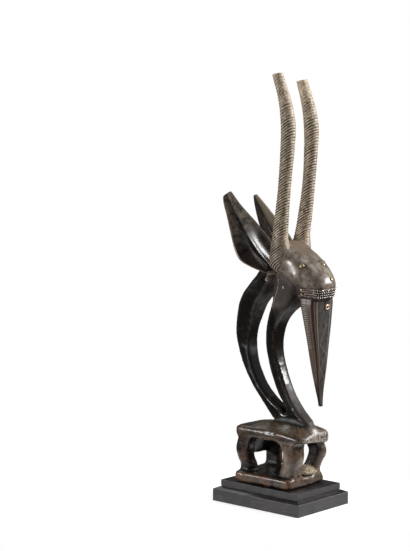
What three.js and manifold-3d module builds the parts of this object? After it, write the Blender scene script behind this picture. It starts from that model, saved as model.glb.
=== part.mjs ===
import * as THREE from "three";
import { mergeVertices } from "three/addons/utils/BufferGeometryUtils.js";
import Module from "manifold-3d";

const wasm = await Module();
wasm.setup();

// Frame: millimetres, +Z up, +X the way the muzzle faces, origin under the middle of the plinth.
const TOUCH_GAP = 0.3;

// Stepped display plinth.
const PLINTH_LENGTH = 198;
const PLINTH_WIDTH = 143;
const PLINTH_STEP_HEIGHT = 22;
const PLINTH_SLOPE_RISE = 4.2;
const PLINTH_INSET = 10.5;
const PLINTH_QUIRK_DEPTH = 1.4;
const PLINTH_QUIRK_HEIGHT = 1.2;
const PLINTH_TOP_HEIGHT = 11.2;

// Whole carving above the plinth.
const CARVING_HEIGHT = 731;

// Four-legged stool under the neck.
const SLAB_LENGTH = 128;
const SLAB_WIDTH = 105;
const SLAB_THICKNESS = 19;
const SLAB_CORNER_CUT = 5;
const SLAB_ROUND = 2.5;
const SLAB_WEAR = 10;
const SLAB_SHIFT_Y = -2;
const LEG_HEIGHT = 62;
const LEG_DEPTH_X = 33;
const LEG_DEPTH_Y = 32.5;
const LEG_SPAN_X = 124;
const LEG_SPAN_Y = 86;
const KNEE_BULGE = 9;
const BODY_LENGTH = 161;
const BODY_WIDTH = 84;
const BODY_THICKNESS = 18;
const BODY_CORNER_CUT = 10;
const BODY_ROUND = 3;
const BODY_SAG = 1;
const BODY_DOME = 12;
const REAR_LINTEL_DROP = 38;
const REAR_LINTEL_DEPTH = 15;
const LINTEL_LEAN = 2;

// Horns.
const HORN_SPREAD = 64;
const HORN_RADIUS = 13.4;
const HORN_RING_PITCH = 5.4;
const HORN_RING_DEPTH = 1.1;
const HORN_RING_SLOPE = 0.62;
const FAR_HORN_SHORTER = 15;

// Ears.
const EAR_LENGTH = 143;
const EAR_WIDTH = 62;
const EAR_THICKNESS = 7;
const EAR_FOLD = 11;
const FAR_EAR_LOWER = 9;

// Band, tacks and eyelet of metal, and the wad of fibre.
const BAND_HEIGHT = 17;
const BAND_THICKNESS = 2.4;
const BAND_ROWS = 4;
const BAND_REACH_BACK = 42;
const EYE_TACK_RADIUS = 4.4;
const BROW_TACK_RADIUS = 4;
const BAND_TACK_RADIUS = 3;
const MANE_TACK_RADIUS = 2.1;
const TACK_DOME_SHARE = 0.6;
const EYELET_RADIUS = 5.8;
const EYELET_WIRE = 1.6;
const WAD_LENGTH = 35;
const WAD_WIDTH = 25;
const WAD_HEIGHT = 16;
const WAD_TURN = 0.72;

// Levels that follow from the sizes above.
const PLINTH_HEIGHT = PLINTH_STEP_HEIGHT + PLINTH_SLOPE_RISE + PLINTH_QUIRK_HEIGHT + PLINTH_TOP_HEIGHT;
const FLOOR = PLINTH_HEIGHT + TOUCH_GAP;
const SLAB_TOP = FLOOR + SLAB_THICKNESS;
const BODY_UNDER = SLAB_TOP + LEG_HEIGHT;
const BODY_EDGE = BODY_UNDER + BODY_THICKNESS;
const PER_MILLE = CARVING_HEIGHT / 1000;
const OUTSIDE = CARVING_HEIGHT / 2;

// A height given as a share of the carving's own height.
function up(share) {
  return FLOOR + share * CARVING_HEIGHT;
}

// Smooth curve through rows of [position, value, value, ...], sorted by position.
function along(rows, s) {
  const last = rows.length - 1;
  if (s <= rows[0][0]) return rows[0].slice(1);
  if (s >= rows[last][0]) return rows[last].slice(1);
  let i = 0;
  while (s > rows[i + 1][0]) i += 1;
  const span = rows[i + 1][0] - rows[i][0];
  const t = (s - rows[i][0]) / span;
  const slope = (j, c) => {
    if (j === 0) return (rows[1][c] - rows[0][c]) / (rows[1][0] - rows[0][0]);
    if (j === last) return (rows[last][c] - rows[last - 1][c]) / (rows[last][0] - rows[last - 1][0]);
    return (rows[j + 1][c] - rows[j - 1][c]) / (rows[j + 1][0] - rows[j - 1][0]);
  };
  return rows[0].slice(1).map((_, k) => {
    const c = k + 1;
    const a = rows[i][c];
    const b = rows[i + 1][c];
    const ma = slope(i, c) * span;
    const mb = slope(i + 1, c) * span;
    const t2 = t * t;
    const t3 = t2 * t;
    return a * (2 * t3 - 3 * t2 + 1) + ma * (t3 - 2 * t2 + t) + b * (3 * t2 - 2 * t3) + mb * (t3 - t2);
  });
}

// Rounded section at one level: back and front in x, half width in y, squareness as a power.
function section(z, back, front, half, power, sides, middleY = 0) {
  const ring = [];
  for (let k = 0; k < sides; k += 1) {
    const a = (2 * Math.PI * (k + 0.5)) / sides;
    const cx = Math.cos(a);
    const sy = Math.sin(a);
    const px = Math.sign(cx) * Math.abs(cx) ** (2 / power);
    const py = Math.sign(sy) * Math.abs(sy) ** (2 / power);
    ring.push([(back + front) / 2 + ((front - back) / 2) * px, middleY + half * py, z]);
  }
  return ring;
}

// Closed body through rings of equal length that run anticlockwise seen from the last ring.
function skin(rings) {
  const sides = rings[0].length;
  const points = rings.flat().flat();
  const faces = [];
  const middle = (ring) => [0, 1, 2].map((c) => ring.reduce((sum, p) => sum + p[c], 0) / sides);
  points.push(...middle(rings[0]), ...middle(rings[rings.length - 1]));
  const low = rings.length * sides;
  const high = low + 1;
  for (let r = 0; r < rings.length - 1; r += 1) {
    for (let k = 0; k < sides; k += 1) {
      const a = r * sides + k;
      const b = r * sides + ((k + 1) % sides);
      faces.push(a, b, b + sides, a, b + sides, a + sides);
    }
  }
  for (let k = 0; k < sides; k += 1) {
    const next = (k + 1) % sides;
    const top = (rings.length - 1) * sides;
    faces.push(low, next, k, high, top + k, top + next);
  }
  const geometry = new THREE.BufferGeometry();
  geometry.setAttribute("position", new THREE.Float32BufferAttribute(points, 3));
  geometry.setIndex(faces);
  return geometry;
}

function toManifold(geometry) {
  const plain = new THREE.BufferGeometry();
  plain.setAttribute("position", geometry.getAttribute("position"));
  if (geometry.index) plain.setIndex(geometry.index);
  const merged = mergeVertices(plain, 1e-4);
  const mesh = new wasm.Mesh({
    numProp: 3,
    vertProperties: new Float32Array(merged.getAttribute("position").array),
    triVerts: new Uint32Array(merged.index.array),
  });
  return new wasm.Manifold(mesh);
}

function toGeometry(body) {
  const mesh = body.getMesh();
  const geometry = new THREE.BufferGeometry();
  geometry.setAttribute("position", new THREE.Float32BufferAttribute(mesh.vertProperties, 3));
  geometry.setIndex(Array.from(mesh.triVerts));
  return geometry;
}

function box(x0, x1, y0, y1, z0, z1) {
  const geometry = new THREE.BoxGeometry(x1 - x0, y1 - y0, z1 - z0);
  geometry.translate((x0 + x1) / 2, (y0 + y1) / 2, (z0 + z1) / 2);
  return toManifold(geometry);
}

function levels(from, to, count) {
  return Array.from({ length: count + 1 }, (_, i) => from + ((to - from) * i) / count);
}

// Section of a form of the figure at one level.
function figureSection(rows, s, sides) {
  const [back, front, half, power] = along(rows, s);
  return section(up(s), back * PER_MILLE, front * PER_MILLE, half * PER_MILLE, power, sides);
}

// Body lofted through rows of [share of the height, back, front, half width, squareness], where
// back, front and half width are thousandths of the carving's height.
function loft(rows, count, sides) {
  const shares = levels(rows[0][0], rows[rows.length - 1][0], count);
  return toManifold(skin(shares.map((s) => figureSection(rows, s, sides))));
}

const group = new THREE.Group();
group.name = "chiwara_headdress";

function piece(name, geometry, finish) {
  geometry.computeVertexNormals();
  const material = new THREE.MeshStandardMaterial({ ...finish, flatShading: true });
  const mesh = new THREE.Mesh(geometry, material);
  mesh.name = name;
  group.add(mesh);
}

// Plinth: a thick step, a sloped top edge, a fine recess and a thinner step.
function plinth() {
  const half = (inset) => [PLINTH_LENGTH / 2 - inset, PLINTH_WIDTH / 2 - inset];
  const slopeTop = PLINTH_STEP_HEIGHT + PLINTH_SLOPE_RISE;
  const recess = PLINTH_INSET + PLINTH_QUIRK_DEPTH;
  const profile = [
    [0, 0],
    [0, PLINTH_STEP_HEIGHT],
    [PLINTH_INSET - PLINTH_QUIRK_DEPTH, slopeTop],
    [recess, slopeTop],
    [recess, slopeTop + PLINTH_QUIRK_HEIGHT],
    [PLINTH_INSET, slopeTop + PLINTH_QUIRK_HEIGHT],
    [PLINTH_INSET, PLINTH_HEIGHT],
  ];
  return skin(profile.map(([inset, z]) => {
    const [x, y] = half(inset);
    return [[x, y, z], [-x, y, z], [-x, -y, z], [x, -y, z]];
  }));
}

// Plan outline of a slab: corners cut across and eased, with points along the sides.
function outline(corners, corner, alongSide) {
  const ring = [];
  corners.forEach(([x, y], i) => {
    const toward = ([tx, ty], share) => [x + (tx - x) * share, y + (ty - y) * share];
    const before = corners[(i + 3) % 4];
    const after = corners[(i + 1) % 4];
    const cutIn = (other) => corner / Math.hypot(other[0] - x, other[1] - y);
    const a = toward(before, cutIn(before));
    const b = toward(after, cutIn(after));
    ring.push(a, [(a[0] + b[0]) * 0.36 + x * 0.28, (a[1] + b[1]) * 0.36 + y * 0.28], b);
    for (let k = 1; k <= alongSide; k += 1) {
      const share = cutIn(after) + ((1 - 2 * cutIn(after)) * k) / (alongSide + 1);
      ring.push(toward(after, share));
    }
  });
  return ring;
}

function lift(ring, z, growX, growY, middleX, middleY) {
  return ring.map(([x, y]) => [middleX + (x - middleX) * growX, middleY + (y - middleY) * growY, z]);
}

// Lower slab of the stool, its front top edge worn down towards the far corner.
function lowerSlab() {
  const x = SLAB_LENGTH / 2;
  const near = SLAB_SHIFT_Y - SLAB_WIDTH / 2;
  const far = SLAB_SHIFT_Y + SLAB_WIDTH / 2;
  const plan = outline([[-x, near], [x, near], [x, far], [-x, far]], SLAB_CORNER_CUT, 2);
  const eased = 1 - SLAB_ROUND / x;
  const rings = [
    lift(plan, FLOOR, eased, eased, 0, SLAB_SHIFT_Y),
    lift(plan, FLOOR + SLAB_ROUND, 1, 1, 0, SLAB_SHIFT_Y),
    lift(plan, SLAB_TOP - SLAB_ROUND, 1, 1, 0, SLAB_SHIFT_Y),
    lift(plan, SLAB_TOP, eased, eased, 0, SLAB_SHIFT_Y),
  ];
  const corner = x + far;
  for (const p of rings[1]) {
    p[2] += Math.min(1, Math.max(0, (p[0] + p[1] - 0.74 * corner) / (0.22 * corner))) * SLAB_WEAR * 0.5;
  }
  for (const p of rings[2]) {
    const front = Math.min(1, Math.max(0, (p[0] - x / 2) / (x / 3)));
    const side = Math.min(1, Math.max(0, (p[1] - near) / SLAB_WIDTH));
    p[2] -= front * side * SLAB_WEAR;
  }
  for (const p of rings[3]) p[0] -= Math.max(0, p[0] - x * 0.8) * 0.3 * ((p[1] - near) / SLAB_WIDTH);
  return toManifold(skin(rings));
}

// One bowed leg with its knee turned out to the corner of the stool.
function leg(endX, sideY, depthX, depthY, bowX) {
  const rows = [
    [0, 0.1, 1.03],
    [0.14, 0, 1],
    [0.38, 0.6, 1],
    [0.6, 1, 1.02],
    [0.76, 0.75, 1.06],
    [0.88, 0.55, 1.2],
    [1, 0.5, 1.5],
  ];
  const rings = levels(0, 1, 8).map((s) => {
    const [bulge, size] = along(rows, s);
    const outerX = LEG_SPAN_X / 2 + bulge * bowX;
    const outerY = LEG_SPAN_Y / 2 + bulge * KNEE_BULGE * 0.3;
    const innerX = outerX - depthX * size;
    const innerY = outerY - depthY * size;
    const z = SLAB_TOP - SLAB_ROUND + s * (LEG_HEIGHT + SLAB_ROUND + BODY_THICKNESS / 3);
    const [back, front] = [endX * innerX, endX * outerX].sort((a, b) => a - b);
    return section(z, back, front, (outerY - innerY) / 2, 3.4, 10, sideY * (innerY + outerY) / 2);
  });
  return toManifold(skin(rings));
}

function farFrontLeg() {
  return leg(1, 1, LEG_DEPTH_X, LEG_DEPTH_Y * 0.66, KNEE_BULGE * 1.4);
}

// Body of the animal: a slab with a domed back, on the legs.
function body() {
  const x = BODY_LENGTH / 2;
  const y = BODY_WIDTH / 2;
  const middleX = x * 0.07;
  const corners = [
    [middleX - x, SLAB_SHIFT_Y - y],
    [middleX + x, SLAB_SHIFT_Y - y * 1.04],
    [middleX + x * 0.98, SLAB_SHIFT_Y + y],
    [middleX - x * 0.95, SLAB_SHIFT_Y + y],
  ];
  const plan = outline(corners, BODY_CORNER_CUT, 2);
  const ring = (z, growX, growY) => lift(plan, z, growX, growY, middleX, SLAB_SHIFT_Y);
  const rings = [
    ring(BODY_UNDER, 0.98, 0.975),
    ring(BODY_UNDER + BODY_ROUND, 1, 1),
    ring(BODY_EDGE - BODY_ROUND, 1, 1),
    ring(BODY_EDGE, 0.975, 0.95),
    ring(BODY_EDGE + BODY_DOME * 0.55, 0.86, 0.66),
    ring(BODY_EDGE + BODY_DOME, 0.66, 0.34),
  ];
  for (const [i, level] of rings.entries()) {
    for (const p of level) {
      const front = Math.max(0, (p[0] - x * 0.4) / (x * 0.65));
      const near = Math.max(0, (SLAB_SHIFT_Y - p[1]) / y);
      const far = Math.max(0, (p[1] - SLAB_SHIFT_Y) / y);
      const sag = BODY_SAG * front * (1 + 5 * near);
      const spine = Math.min(1, Math.max(0.1, (p[0] + x * 0.9) / (x * 0.8)));
      if (i > 3) p[2] = BODY_EDGE + (p[2] - BODY_EDGE) * spine;
      p[2] += i < 2 ? BODY_SAG * front * (4 * near - 5 * far) : -sag;
    }
  }
  return toManifold(skin(rings));
}

// Wall between the rear legs that lowers the opening there.
function rearLintel() {
  const back = -LEG_SPAN_X / 2 - LINTEL_LEAN;
  const half = LEG_SPAN_Y / 2 - BODY_ROUND;
  const rings = levels(0, 1, 3).map((s) => {
    const z = BODY_UNDER + BODY_THICKNESS / 4 - (REAR_LINTEL_DROP + BODY_THICKNESS / 4) * (1 - s);
    return section(z, back + LINTEL_LEAN * (1 - s), back + REAR_LINTEL_DEPTH * (0.75 + 0.4 * s), half, 5, 10);
  });
  return toManifold(skin(rings));
}

const FOOT = [
  [0.13, -8.2, 114.9, 19.8, 4],
  [0.146, -8.2, 106.7, 19.8, 4],
  [0.155, -10.9, 94.4, 19.2, 4],
  [0.166, -19.2, 83.4, 18.5, 4],
  [0.172, -24.6, 78, 18.5, 4],
];

const REAR_LIMB = [
  [0.158, -15, 34.2, 18.5, 4.5],
  [0.184, -37.5, 14, 18.5, 5],
  [0.2, -51.3, -13, 18.5, 5.5],
  [0.222, -70.3, -39, 18.5, 6],
  [0.245, -87, -58, 18.5, 6],
  [0.28, -107.5, -76.4, 18.5, 6],
  [0.322, -123.7, -86.2, 19.2, 6],
  [0.36, -131, -85.5, 20.5, 6],
  [0.4, -125.5, -73, 24.6, 6],
  [0.435, -115.5, -57, 30, 5],
  [0.462, -101, -38, 33, 4.5],
  [0.488, -78, -15, 35, 4],
  [0.505, -63, 6, 37, 3.2],
  [0.525, -48, 16.4, 38.3, 2.6],
  [0.55, -10.9, 19.2, 36.9, 2.4],
];

const FRONT_LIMB = [
  [0.158, 19.2, 97.1, 18.5, 4.5],
  [0.172, 27.4, 79, 18.5, 5],
  [0.19, 25.5, 60.5, 17.8, 5.5],
  [0.215, 7, 41, 17.1, 6],
  [0.25, -11.8, 22.5, 17.1, 6],
  [0.29, -26, 6.8, 17.8, 6],
  [0.33, -33.8, -3.6, 19.8, 6],
  [0.365, -33.4, -2.6, 22.6, 6],
  [0.395, -27, 7.2, 25.7, 6],
  [0.42, -17.5, 26, 30, 6],
  [0.44, -9, 50.6, 34.2, 5],
  [0.472, -4.5, 68.4, 34.2, 4],
  [0.497, -3, 84.8, 35.5, 3.2],
  [0.52, 8, 82.1, 37, 2.6],
  [0.545, 16.4, 73.9, 36.5, 2.4],
];

const MUZZLE = [
  [0.203, 120.8, 127.8, 4.9, 5],
  [0.222, 118.5, 126.8, 7.2, 5],
  [0.243, 114.2, 127.2, 9.8, 6],
  [0.3, 105.8, 130, 19, 6],
  [0.353, 100.3, 130.8, 27, 6],
  [0.393, 96.3, 131.4, 34, 6],
  [0.427, 91.3, 131.8, 38.6, 6],
  [0.453, 86.8, 132.8, 41, 6],
  [0.4665, 82.8, 134.3, 39, 5],
];

const SKULL = [
  [0.462, 71.1, 138.9, 33.5, 4],
  [0.4675, 69.8, 143, 34.6, 4.2],
  [0.491, 67, 149.1, 36, 4.2],
  [0.502, 46.5, 150.9, 41.5, 3.2],
  [0.52, 10.9, 143, 48.3, 2.7],
  [0.54, -5.5, 127.2, 51, 2.4],
  [0.563, -12.5, 97.1, 51, 2.4],
  [0.583, -6, 60.2, 46, 2.4],
  [0.596, 5.5, 42, 36, 2.4],
];

const HORN_PATH = [
  [0.515, 32.8, 0.45, 0.75, 1.2],
  [0.535, 28.7, 0.74, 1.12, 1.25],
  [0.553, 28, 0.87, 1.22, 1.2],
  [0.58, 29.4, 0.91, 1.16, 1.12],
  [0.61, 30.9, 0.96, 1.05, 1],
  [0.65, 36.1, 1.01, 0.97, 1],
  [0.735, 46.6, 1.05, 0.87, 1],
  [0.83, 54.2, 1.02, 0.96, 1],
  [0.873, 54.7, 0.99, 1, 1],
  [0.913, 48.6, 0.965, 0.92, 1],
  [0.949, 38.2, 0.945, 0.83, 1],
  [0.972, 29.4, 0.95, 0.78, 1],
  [1.04, 5.5, 1, 0.68, 1],
];

// One horn, cut round with slanting rings, its tip sawn across.
function horn(side, shorter) {
  const from = 0.53;
  const to = 1.03 - shorter / CARVING_HEIGHT;
  const sides = 9;
  const count = Math.round((to - from) * CARVING_HEIGHT * 2 / HORN_RING_PITCH);
  const rings = levels(from, to, count).map((s, i) => {
    const slope = HORN_RING_SLOPE * (1 + 0.7 * Math.max(0, (0.66 - s) / 0.1));
    return Array.from({ length: sides }, (_, k) => {
      const a = (2 * Math.PI * (k + 0.5)) / sides;
      const behind = 0.5 - 0.5 * Math.cos(a);
      const groove = i % 2 === 0 ? 0 : HORN_RING_DEPTH * (0.3 + 0.7 * behind);
      const at = Math.min(1.04, s + (slope * Math.cos(a) * HORN_RADIUS) / CARVING_HEIGHT);
      const [x, spread, size, stretch] = along(HORN_PATH, at);
      const r = HORN_RADIUS * size - groove;
      const y = side * spread * HORN_SPREAD / 2;
      return [x * PER_MILLE + r * stretch * Math.cos(a), y + r * Math.sin(a), up(at)];
    });
  });
  const block = new THREE.BoxGeometry(HORN_SPREAD * 2, HORN_SPREAD * 2, HORN_SPREAD * 2);
  block.translate(0, 0, HORN_SPREAD);
  block.rotateY(-0.26);
  const tip = along(HORN_PATH, 0.972)[0] * PER_MILLE;
  block.translate(tip, side * HORN_SPREAD / 2, up(1.001) - shorter);
  return toManifold(skin(rings)).subtract(toManifold(block));
}

const EAR = [
  [-0.12, -0.333, 0.167, 0.8],
  [0.06, -0.6, 0.267, 0.9],
  [0.2, -0.7, 0.317, 1],
  [0.34, -0.65, 0.292, 1],
  [0.5, -0.533, 0.25, 0.9],
  [0.68, -0.4, 0.183, 0.75],
  [0.84, -0.283, 0.133, 0.55],
  [0.95, -0.183, 0.1, 0.4],
  [1, -0.117, 0.083, 0.3],
];

// One ear: a leaf folded along its length, hollow side forward and out. The fold lies at a share
// of its width, and blunt widens its cut tip.
function ear(side, lower, sideways, foldAt, blunt) {
  const root = new THREE.Vector3(0, side * 46.5 * PER_MILLE, up(0.555) - lower * 0.4);
  const rise = new THREE.Vector3(-0.645, side * 0.035, 0.763).multiplyScalar(EAR_LENGTH);
  const tip = root.clone().add(rise).add(new THREE.Vector3(0, 0, -lower * 0.6));
  const axis = tip.clone().sub(root);
  const lean = axis.clone().normalize();
  const flat = new THREE.Vector3(lean.z, 0, -lean.x).multiplyScalar(Math.sqrt(1 - sideways * sideways));
  const across = flat.add(new THREE.Vector3(0, -side * sideways, 0)).normalize();
  const out = new THREE.Vector3().crossVectors(lean, across).multiplyScalar(side).normalize();
  const rings = levels(-0.12, 1, 10).map((t) => {
    const [rear, front, thick] = along(EAR, t);
    const fold = EAR_FOLD * thick;
    const wall = EAR_THICKNESS * thick;
    const wider = 0.04 * blunt * Math.max(0, (t - 0.8) / 0.2);
    const back = rear - wider;
    const edge = front + wider;
    const valley = back + (edge - back) * foldAt;
    const base = root.clone().addScaledVector(axis, t);
    const put = (u, w) => {
      return base.clone().addScaledVector(across, u * EAR_WIDTH).addScaledVector(out, w).toArray();
    };
    const ring = [
      put(back, 0),
      put((back + valley) / 2, -fold * 0.6),
      put(valley, -fold),
      put((edge + valley) / 2, -fold * 0.5),
      put(edge, 0),
      put(edge - 0.025, -wall * 0.7),
      put(valley + 0.06, -fold - wall),
      put(valley - 0.06, -fold - wall),
      put(back + 0.025, -wall * 0.7),
    ];
    return side < 0 ? ring : ring.reverse();
  });
  return toManifold(skin(rings));
}

const BAND_LOW = SKULL[1][0];
const BAND_HIGH = BAND_LOW + BAND_HEIGHT / CARVING_HEIGHT;
const SKULL_SIDES = 18;

// The skull's own levels, with one flat stretch under the band.
function skull() {
  const shares = [SKULL[0][0], BAND_LOW, BAND_HIGH, ...levels(BAND_HIGH, SKULL[8][0], 9).slice(1)];
  return toManifold(skin(shares.map((s) => figureSection(SKULL, s, SKULL_SIDES))));
}

function carving() {
  let wood = lowerSlab();
  wood = wood.add(leg(1, -1, LEG_DEPTH_X, LEG_DEPTH_Y, KNEE_BULGE));
  wood = wood.add(farFrontLeg());
  wood = wood.add(leg(-1, -1, LEG_DEPTH_X * 0.85, LEG_DEPTH_Y * 0.83, KNEE_BULGE));
  wood = wood.add(leg(-1, 1, LEG_DEPTH_X * 1.1, LEG_DEPTH_Y * 0.43, KNEE_BULGE / 3));
  wood = wood.add(rearLintel()).add(body());
  wood = wood.add(loft(FOOT, 4, 12));
  wood = wood.add(loft(REAR_LIMB, 16, 12)).add(loft(FRONT_LIMB, 16, 12));
  wood = wood.add(skull()).add(loft(MUZZLE, 7, 12));
  wood = wood.add(ear(-1, 0, 0.5, 0.5, 1)).add(ear(1, FAR_EAR_LOWER, 0.08, 0.68, -0.5));
  wood = wood.add(horn(-1, 0)).add(horn(1, FAR_HORN_SHORTER));
  return wood;
}

// Beaded strip round the front and sides of the head, open behind.
function muzzleBand() {
  const hug = (s, out) => {
    const [backLow, frontLow, halfLow, power] = along(SKULL, BAND_LOW);
    const [backHigh, frontHigh, halfHigh] = along(SKULL, BAND_HIGH);
    const t = (s - BAND_LOW) / (BAND_HIGH - BAND_LOW);
    const mix = (a, b) => (a + (b - a) * t) * PER_MILLE;
    return section(up(s), mix(backLow, backHigh) - out, mix(frontLow, frontHigh) + out,
      mix(halfLow, halfHigh) + out, power, SKULL_SIDES);
  };
  const ease = TOUCH_GAP / CARVING_HEIGHT;
  const rows = levels(BAND_LOW + ease, BAND_HIGH - ease, BAND_ROWS * 2);
  const outer = rows.map((s, i) => hug(s, BAND_THICKNESS * (i % 2 === 0 ? 0.5 : 1)));
  const inner = [BAND_LOW - 0.01, BAND_HIGH + 0.01].map((s) => hug(s, TOUCH_GAP * 1.4));
  const front = along(SKULL, BAND_LOW)[1] * PER_MILLE;
  const wide = HORN_SPREAD + BAND_THICKNESS;
  const end = front - BAND_REACH_BACK;
  const behind = box(front - OUTSIDE, end, -wide, wide, up(BAND_LOW) - wide, up(BAND_HIGH) + wide);
  return toManifold(skin(outer)).subtract(toManifold(skin(inner))).subtract(behind);
}

// Where a straight line first meets a solid, with the outward normal there.
function meet(solids, from, direction) {
  const ray = new THREE.Raycaster(from, direction.clone().normalize());
  const hit = ray.intersectObjects(solids, false)[0];
  return hit && { point: hit.point, normal: hit.face.normal.clone() };
}

// A domed head laid on the surface, clear of it everywhere by the touching gap.
function dome(solids, from, direction, radius) {
  const { point, normal } = meet(solids, from, direction);
  const turn = new THREE.Quaternion().setFromUnitVectors(new THREE.Vector3(0, 0, 1), normal);
  let rise = 0;
  for (let k = 0; k < 60; k += 1) {
    const a = (2 * Math.PI * k) / 12;
    const reach = (radius * (1 + Math.floor(k / 12))) / 5;
    const rim = new THREE.Vector3(Math.cos(a), Math.sin(a), 0).multiplyScalar(reach).applyQuaternion(turn);
    const above = point.clone().add(rim).addScaledVector(normal, 6);
    const under = meet(solids, above, normal.clone().negate());
    if (under) rise = Math.max(rise, under.point.clone().sub(point).dot(normal));
  }
  const sides = 7;
  const ring = (share, height) => Array.from({ length: sides }, (_, k) => {
    const a = (2 * Math.PI * k) / sides;
    const p = new THREE.Vector3(Math.cos(a) * radius * share, Math.sin(a) * radius * share, height);
    return p.applyQuaternion(turn).add(point).addScaledVector(normal, rise + TOUCH_GAP).toArray();
  });
  const tall = radius * TACK_DOME_SHARE;
  return skin([ring(1, 0), ring(0.92, tall * 0.42), ring(0.5, tall * 0.9)]);
}

// A small ring lying on the front of the muzzle.
function eyelet(solids, from, direction) {
  const { point, normal } = meet(solids, from, direction);
  const geometry = new THREE.TorusGeometry(EYELET_RADIUS - EYELET_WIRE, EYELET_WIRE, 5, 11);
  const turn = new THREE.Quaternion().setFromUnitVectors(new THREE.Vector3(0, 0, 1), normal);
  geometry.applyQuaternion(turn);
  const centre = point.clone().addScaledVector(normal, EYELET_WIRE + TOUCH_GAP);
  geometry.translate(centre.x, centre.y, centre.z);
  return geometry;
}

// A domed wad of plant fibre lying on the slab, pressed against the far front leg.
function fibreWad() {
  const rows = [[0, 0.82], [0.12, 1], [0.45, 0.9], [0.78, 0.6], [0.97, 0.25]];
  const sides = 10;
  const wad = skin(rows.map(([height, size]) => Array.from({ length: sides }, (_, k) => {
    const a = (2 * Math.PI * k) / sides;
    const z = TOUCH_GAP + height * WAD_HEIGHT;
    return [(WAD_LENGTH / 2) * size * Math.cos(a), (WAD_WIDTH / 2) * size * Math.sin(a), z];
  })));
  wad.rotateZ(WAD_TURN);
  wad.translate(LEG_SPAN_X * 0.41, LEG_SPAN_Y * 0.19, SLAB_TOP);
  const shy = TOUCH_GAP * 1.3;
  const behind = farFrontLeg();
  return toManifold(wad).subtract(behind.translate([0, -shy, 0])).subtract(behind.translate([shy, -shy, 0]));
}

const LACQUER = { color: 0x1c1a1b, roughness: 0.3, metalness: 0 };
const WOOD = { color: 0x2a2220, roughness: 0.35, metalness: 0 };
const WHITE_METAL = { color: 0x6c6460, roughness: 0.45, metalness: 0.9 };
const FIBRE = { color: 0x9a9078, roughness: 0.9, metalness: 0 };
const BRASS = { color: 0xa08c5a, roughness: 0.35, metalness: 1 };
const COPPER = { color: 0xa88878, roughness: 0.4, metalness: 1 };

const carved = toGeometry(carving());
piece("plinth", plinth(), LACQUER);
piece("carving", carved, WOOD);
piece("muzzle_band", toGeometry(muzzleBand()), WHITE_METAL);
piece("fibre_wad", toGeometry(fibreWad()), FIBRE);

// Tacks are driven along level lines into the wood, or into the band where they hold its ends.
const solids = group.children.filter((m) => m.name === "carving" || m.name === "muzzle_band");
solids.forEach((m) => m.updateMatrixWorld(true));
// Their places are thousandths of the carving's height along x or y, and a share of it in height.
const line = (x, y, share, dx, dy) => {
  return [new THREE.Vector3(x, y, up(share)), new THREE.Vector3(dx, dy, 0)];
};
const fromSide = (x, side, share) => line(x * PER_MILLE, side * OUTSIDE, share, 0, -side);
const fromFront = (y, share) => line(OUTSIDE, y * PER_MILLE, share, -1, 0);
const fromBehind = (y, share) => line(-OUTSIDE, y * PER_MILLE, share, 1, 0);
for (const [name, side] of [["near", -1], ["far", 1]]) {
  piece(`tack_eye_${name}`, dome(solids, ...fromSide(98.5, side, 0.545), EYE_TACK_RADIUS), BRASS);
  piece(`tack_jaw_${name}`, dome(solids, ...fromSide(35.6, side, 0.487), BAND_TACK_RADIUS), BRASS);
  piece(`tack_band_high_${name}`, dome(solids, ...fromSide(93, side, 0.487), BAND_TACK_RADIUS), BRASS);
  piece(`tack_band_low_${name}`, dome(solids, ...fromSide(94.4, side, 0.472), BAND_TACK_RADIUS), BRASS);
}
piece("tack_brow_high", dome(solids, ...fromFront(9.6, 0.545), BROW_TACK_RADIUS), BRASS);
piece("tack_brow_low", dome(solids, ...fromFront(8.2, 0.513), BROW_TACK_RADIUS), BRASS);
[0.449, 0.437, 0.4235, 0.327, 0.311, 0.289].forEach((share, i) => {
  piece(`tack_mane_${i + 1}`, dome(solids, ...fromBehind(-12.3, share), MANE_TACK_RADIUS), BRASS);
});
piece("eyelet", eyelet(solids, ...fromFront(11, 0.444)), COPPER);

export default group;
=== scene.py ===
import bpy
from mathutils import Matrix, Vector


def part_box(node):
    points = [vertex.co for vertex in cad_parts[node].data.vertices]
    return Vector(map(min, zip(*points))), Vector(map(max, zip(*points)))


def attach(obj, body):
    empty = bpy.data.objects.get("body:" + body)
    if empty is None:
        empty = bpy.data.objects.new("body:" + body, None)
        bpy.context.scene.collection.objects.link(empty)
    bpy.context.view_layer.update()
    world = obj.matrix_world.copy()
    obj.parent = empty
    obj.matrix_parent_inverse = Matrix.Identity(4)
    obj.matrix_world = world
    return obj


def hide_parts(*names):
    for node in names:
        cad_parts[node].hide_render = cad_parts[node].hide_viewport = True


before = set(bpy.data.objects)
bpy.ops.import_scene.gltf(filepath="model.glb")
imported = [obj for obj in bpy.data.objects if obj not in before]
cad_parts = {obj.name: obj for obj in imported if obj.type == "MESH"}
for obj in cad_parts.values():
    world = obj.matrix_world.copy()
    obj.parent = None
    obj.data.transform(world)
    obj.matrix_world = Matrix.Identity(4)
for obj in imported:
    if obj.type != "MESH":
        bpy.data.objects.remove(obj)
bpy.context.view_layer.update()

import math

import bpy
import numpy as np
from mathutils import Matrix, Vector, bvhtree

scene = bpy.context.scene
scene.view_settings.view_transform = "Standard"

# Plinth: a two-step display block of hardwood, mitred and glued, brushed with black lacquer and
# rubbed to a satin. The lacquer mirrors the room softly and shows fine rubbing marks and dust.
PLINTH_LENGTH = 0.198
PLINTH_WIDTH = 0.143
PLINTH_STEP = 0.022
PLINTH_SLOPE = 0.0042
PLINTH_INSET = 0.0105
PLINTH_RECESS = 0.0014
PLINTH_RECESS_HEIGHT = 0.0012
PLINTH_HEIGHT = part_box("plinth")[1][2]
ARRIS = 0.0007


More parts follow.
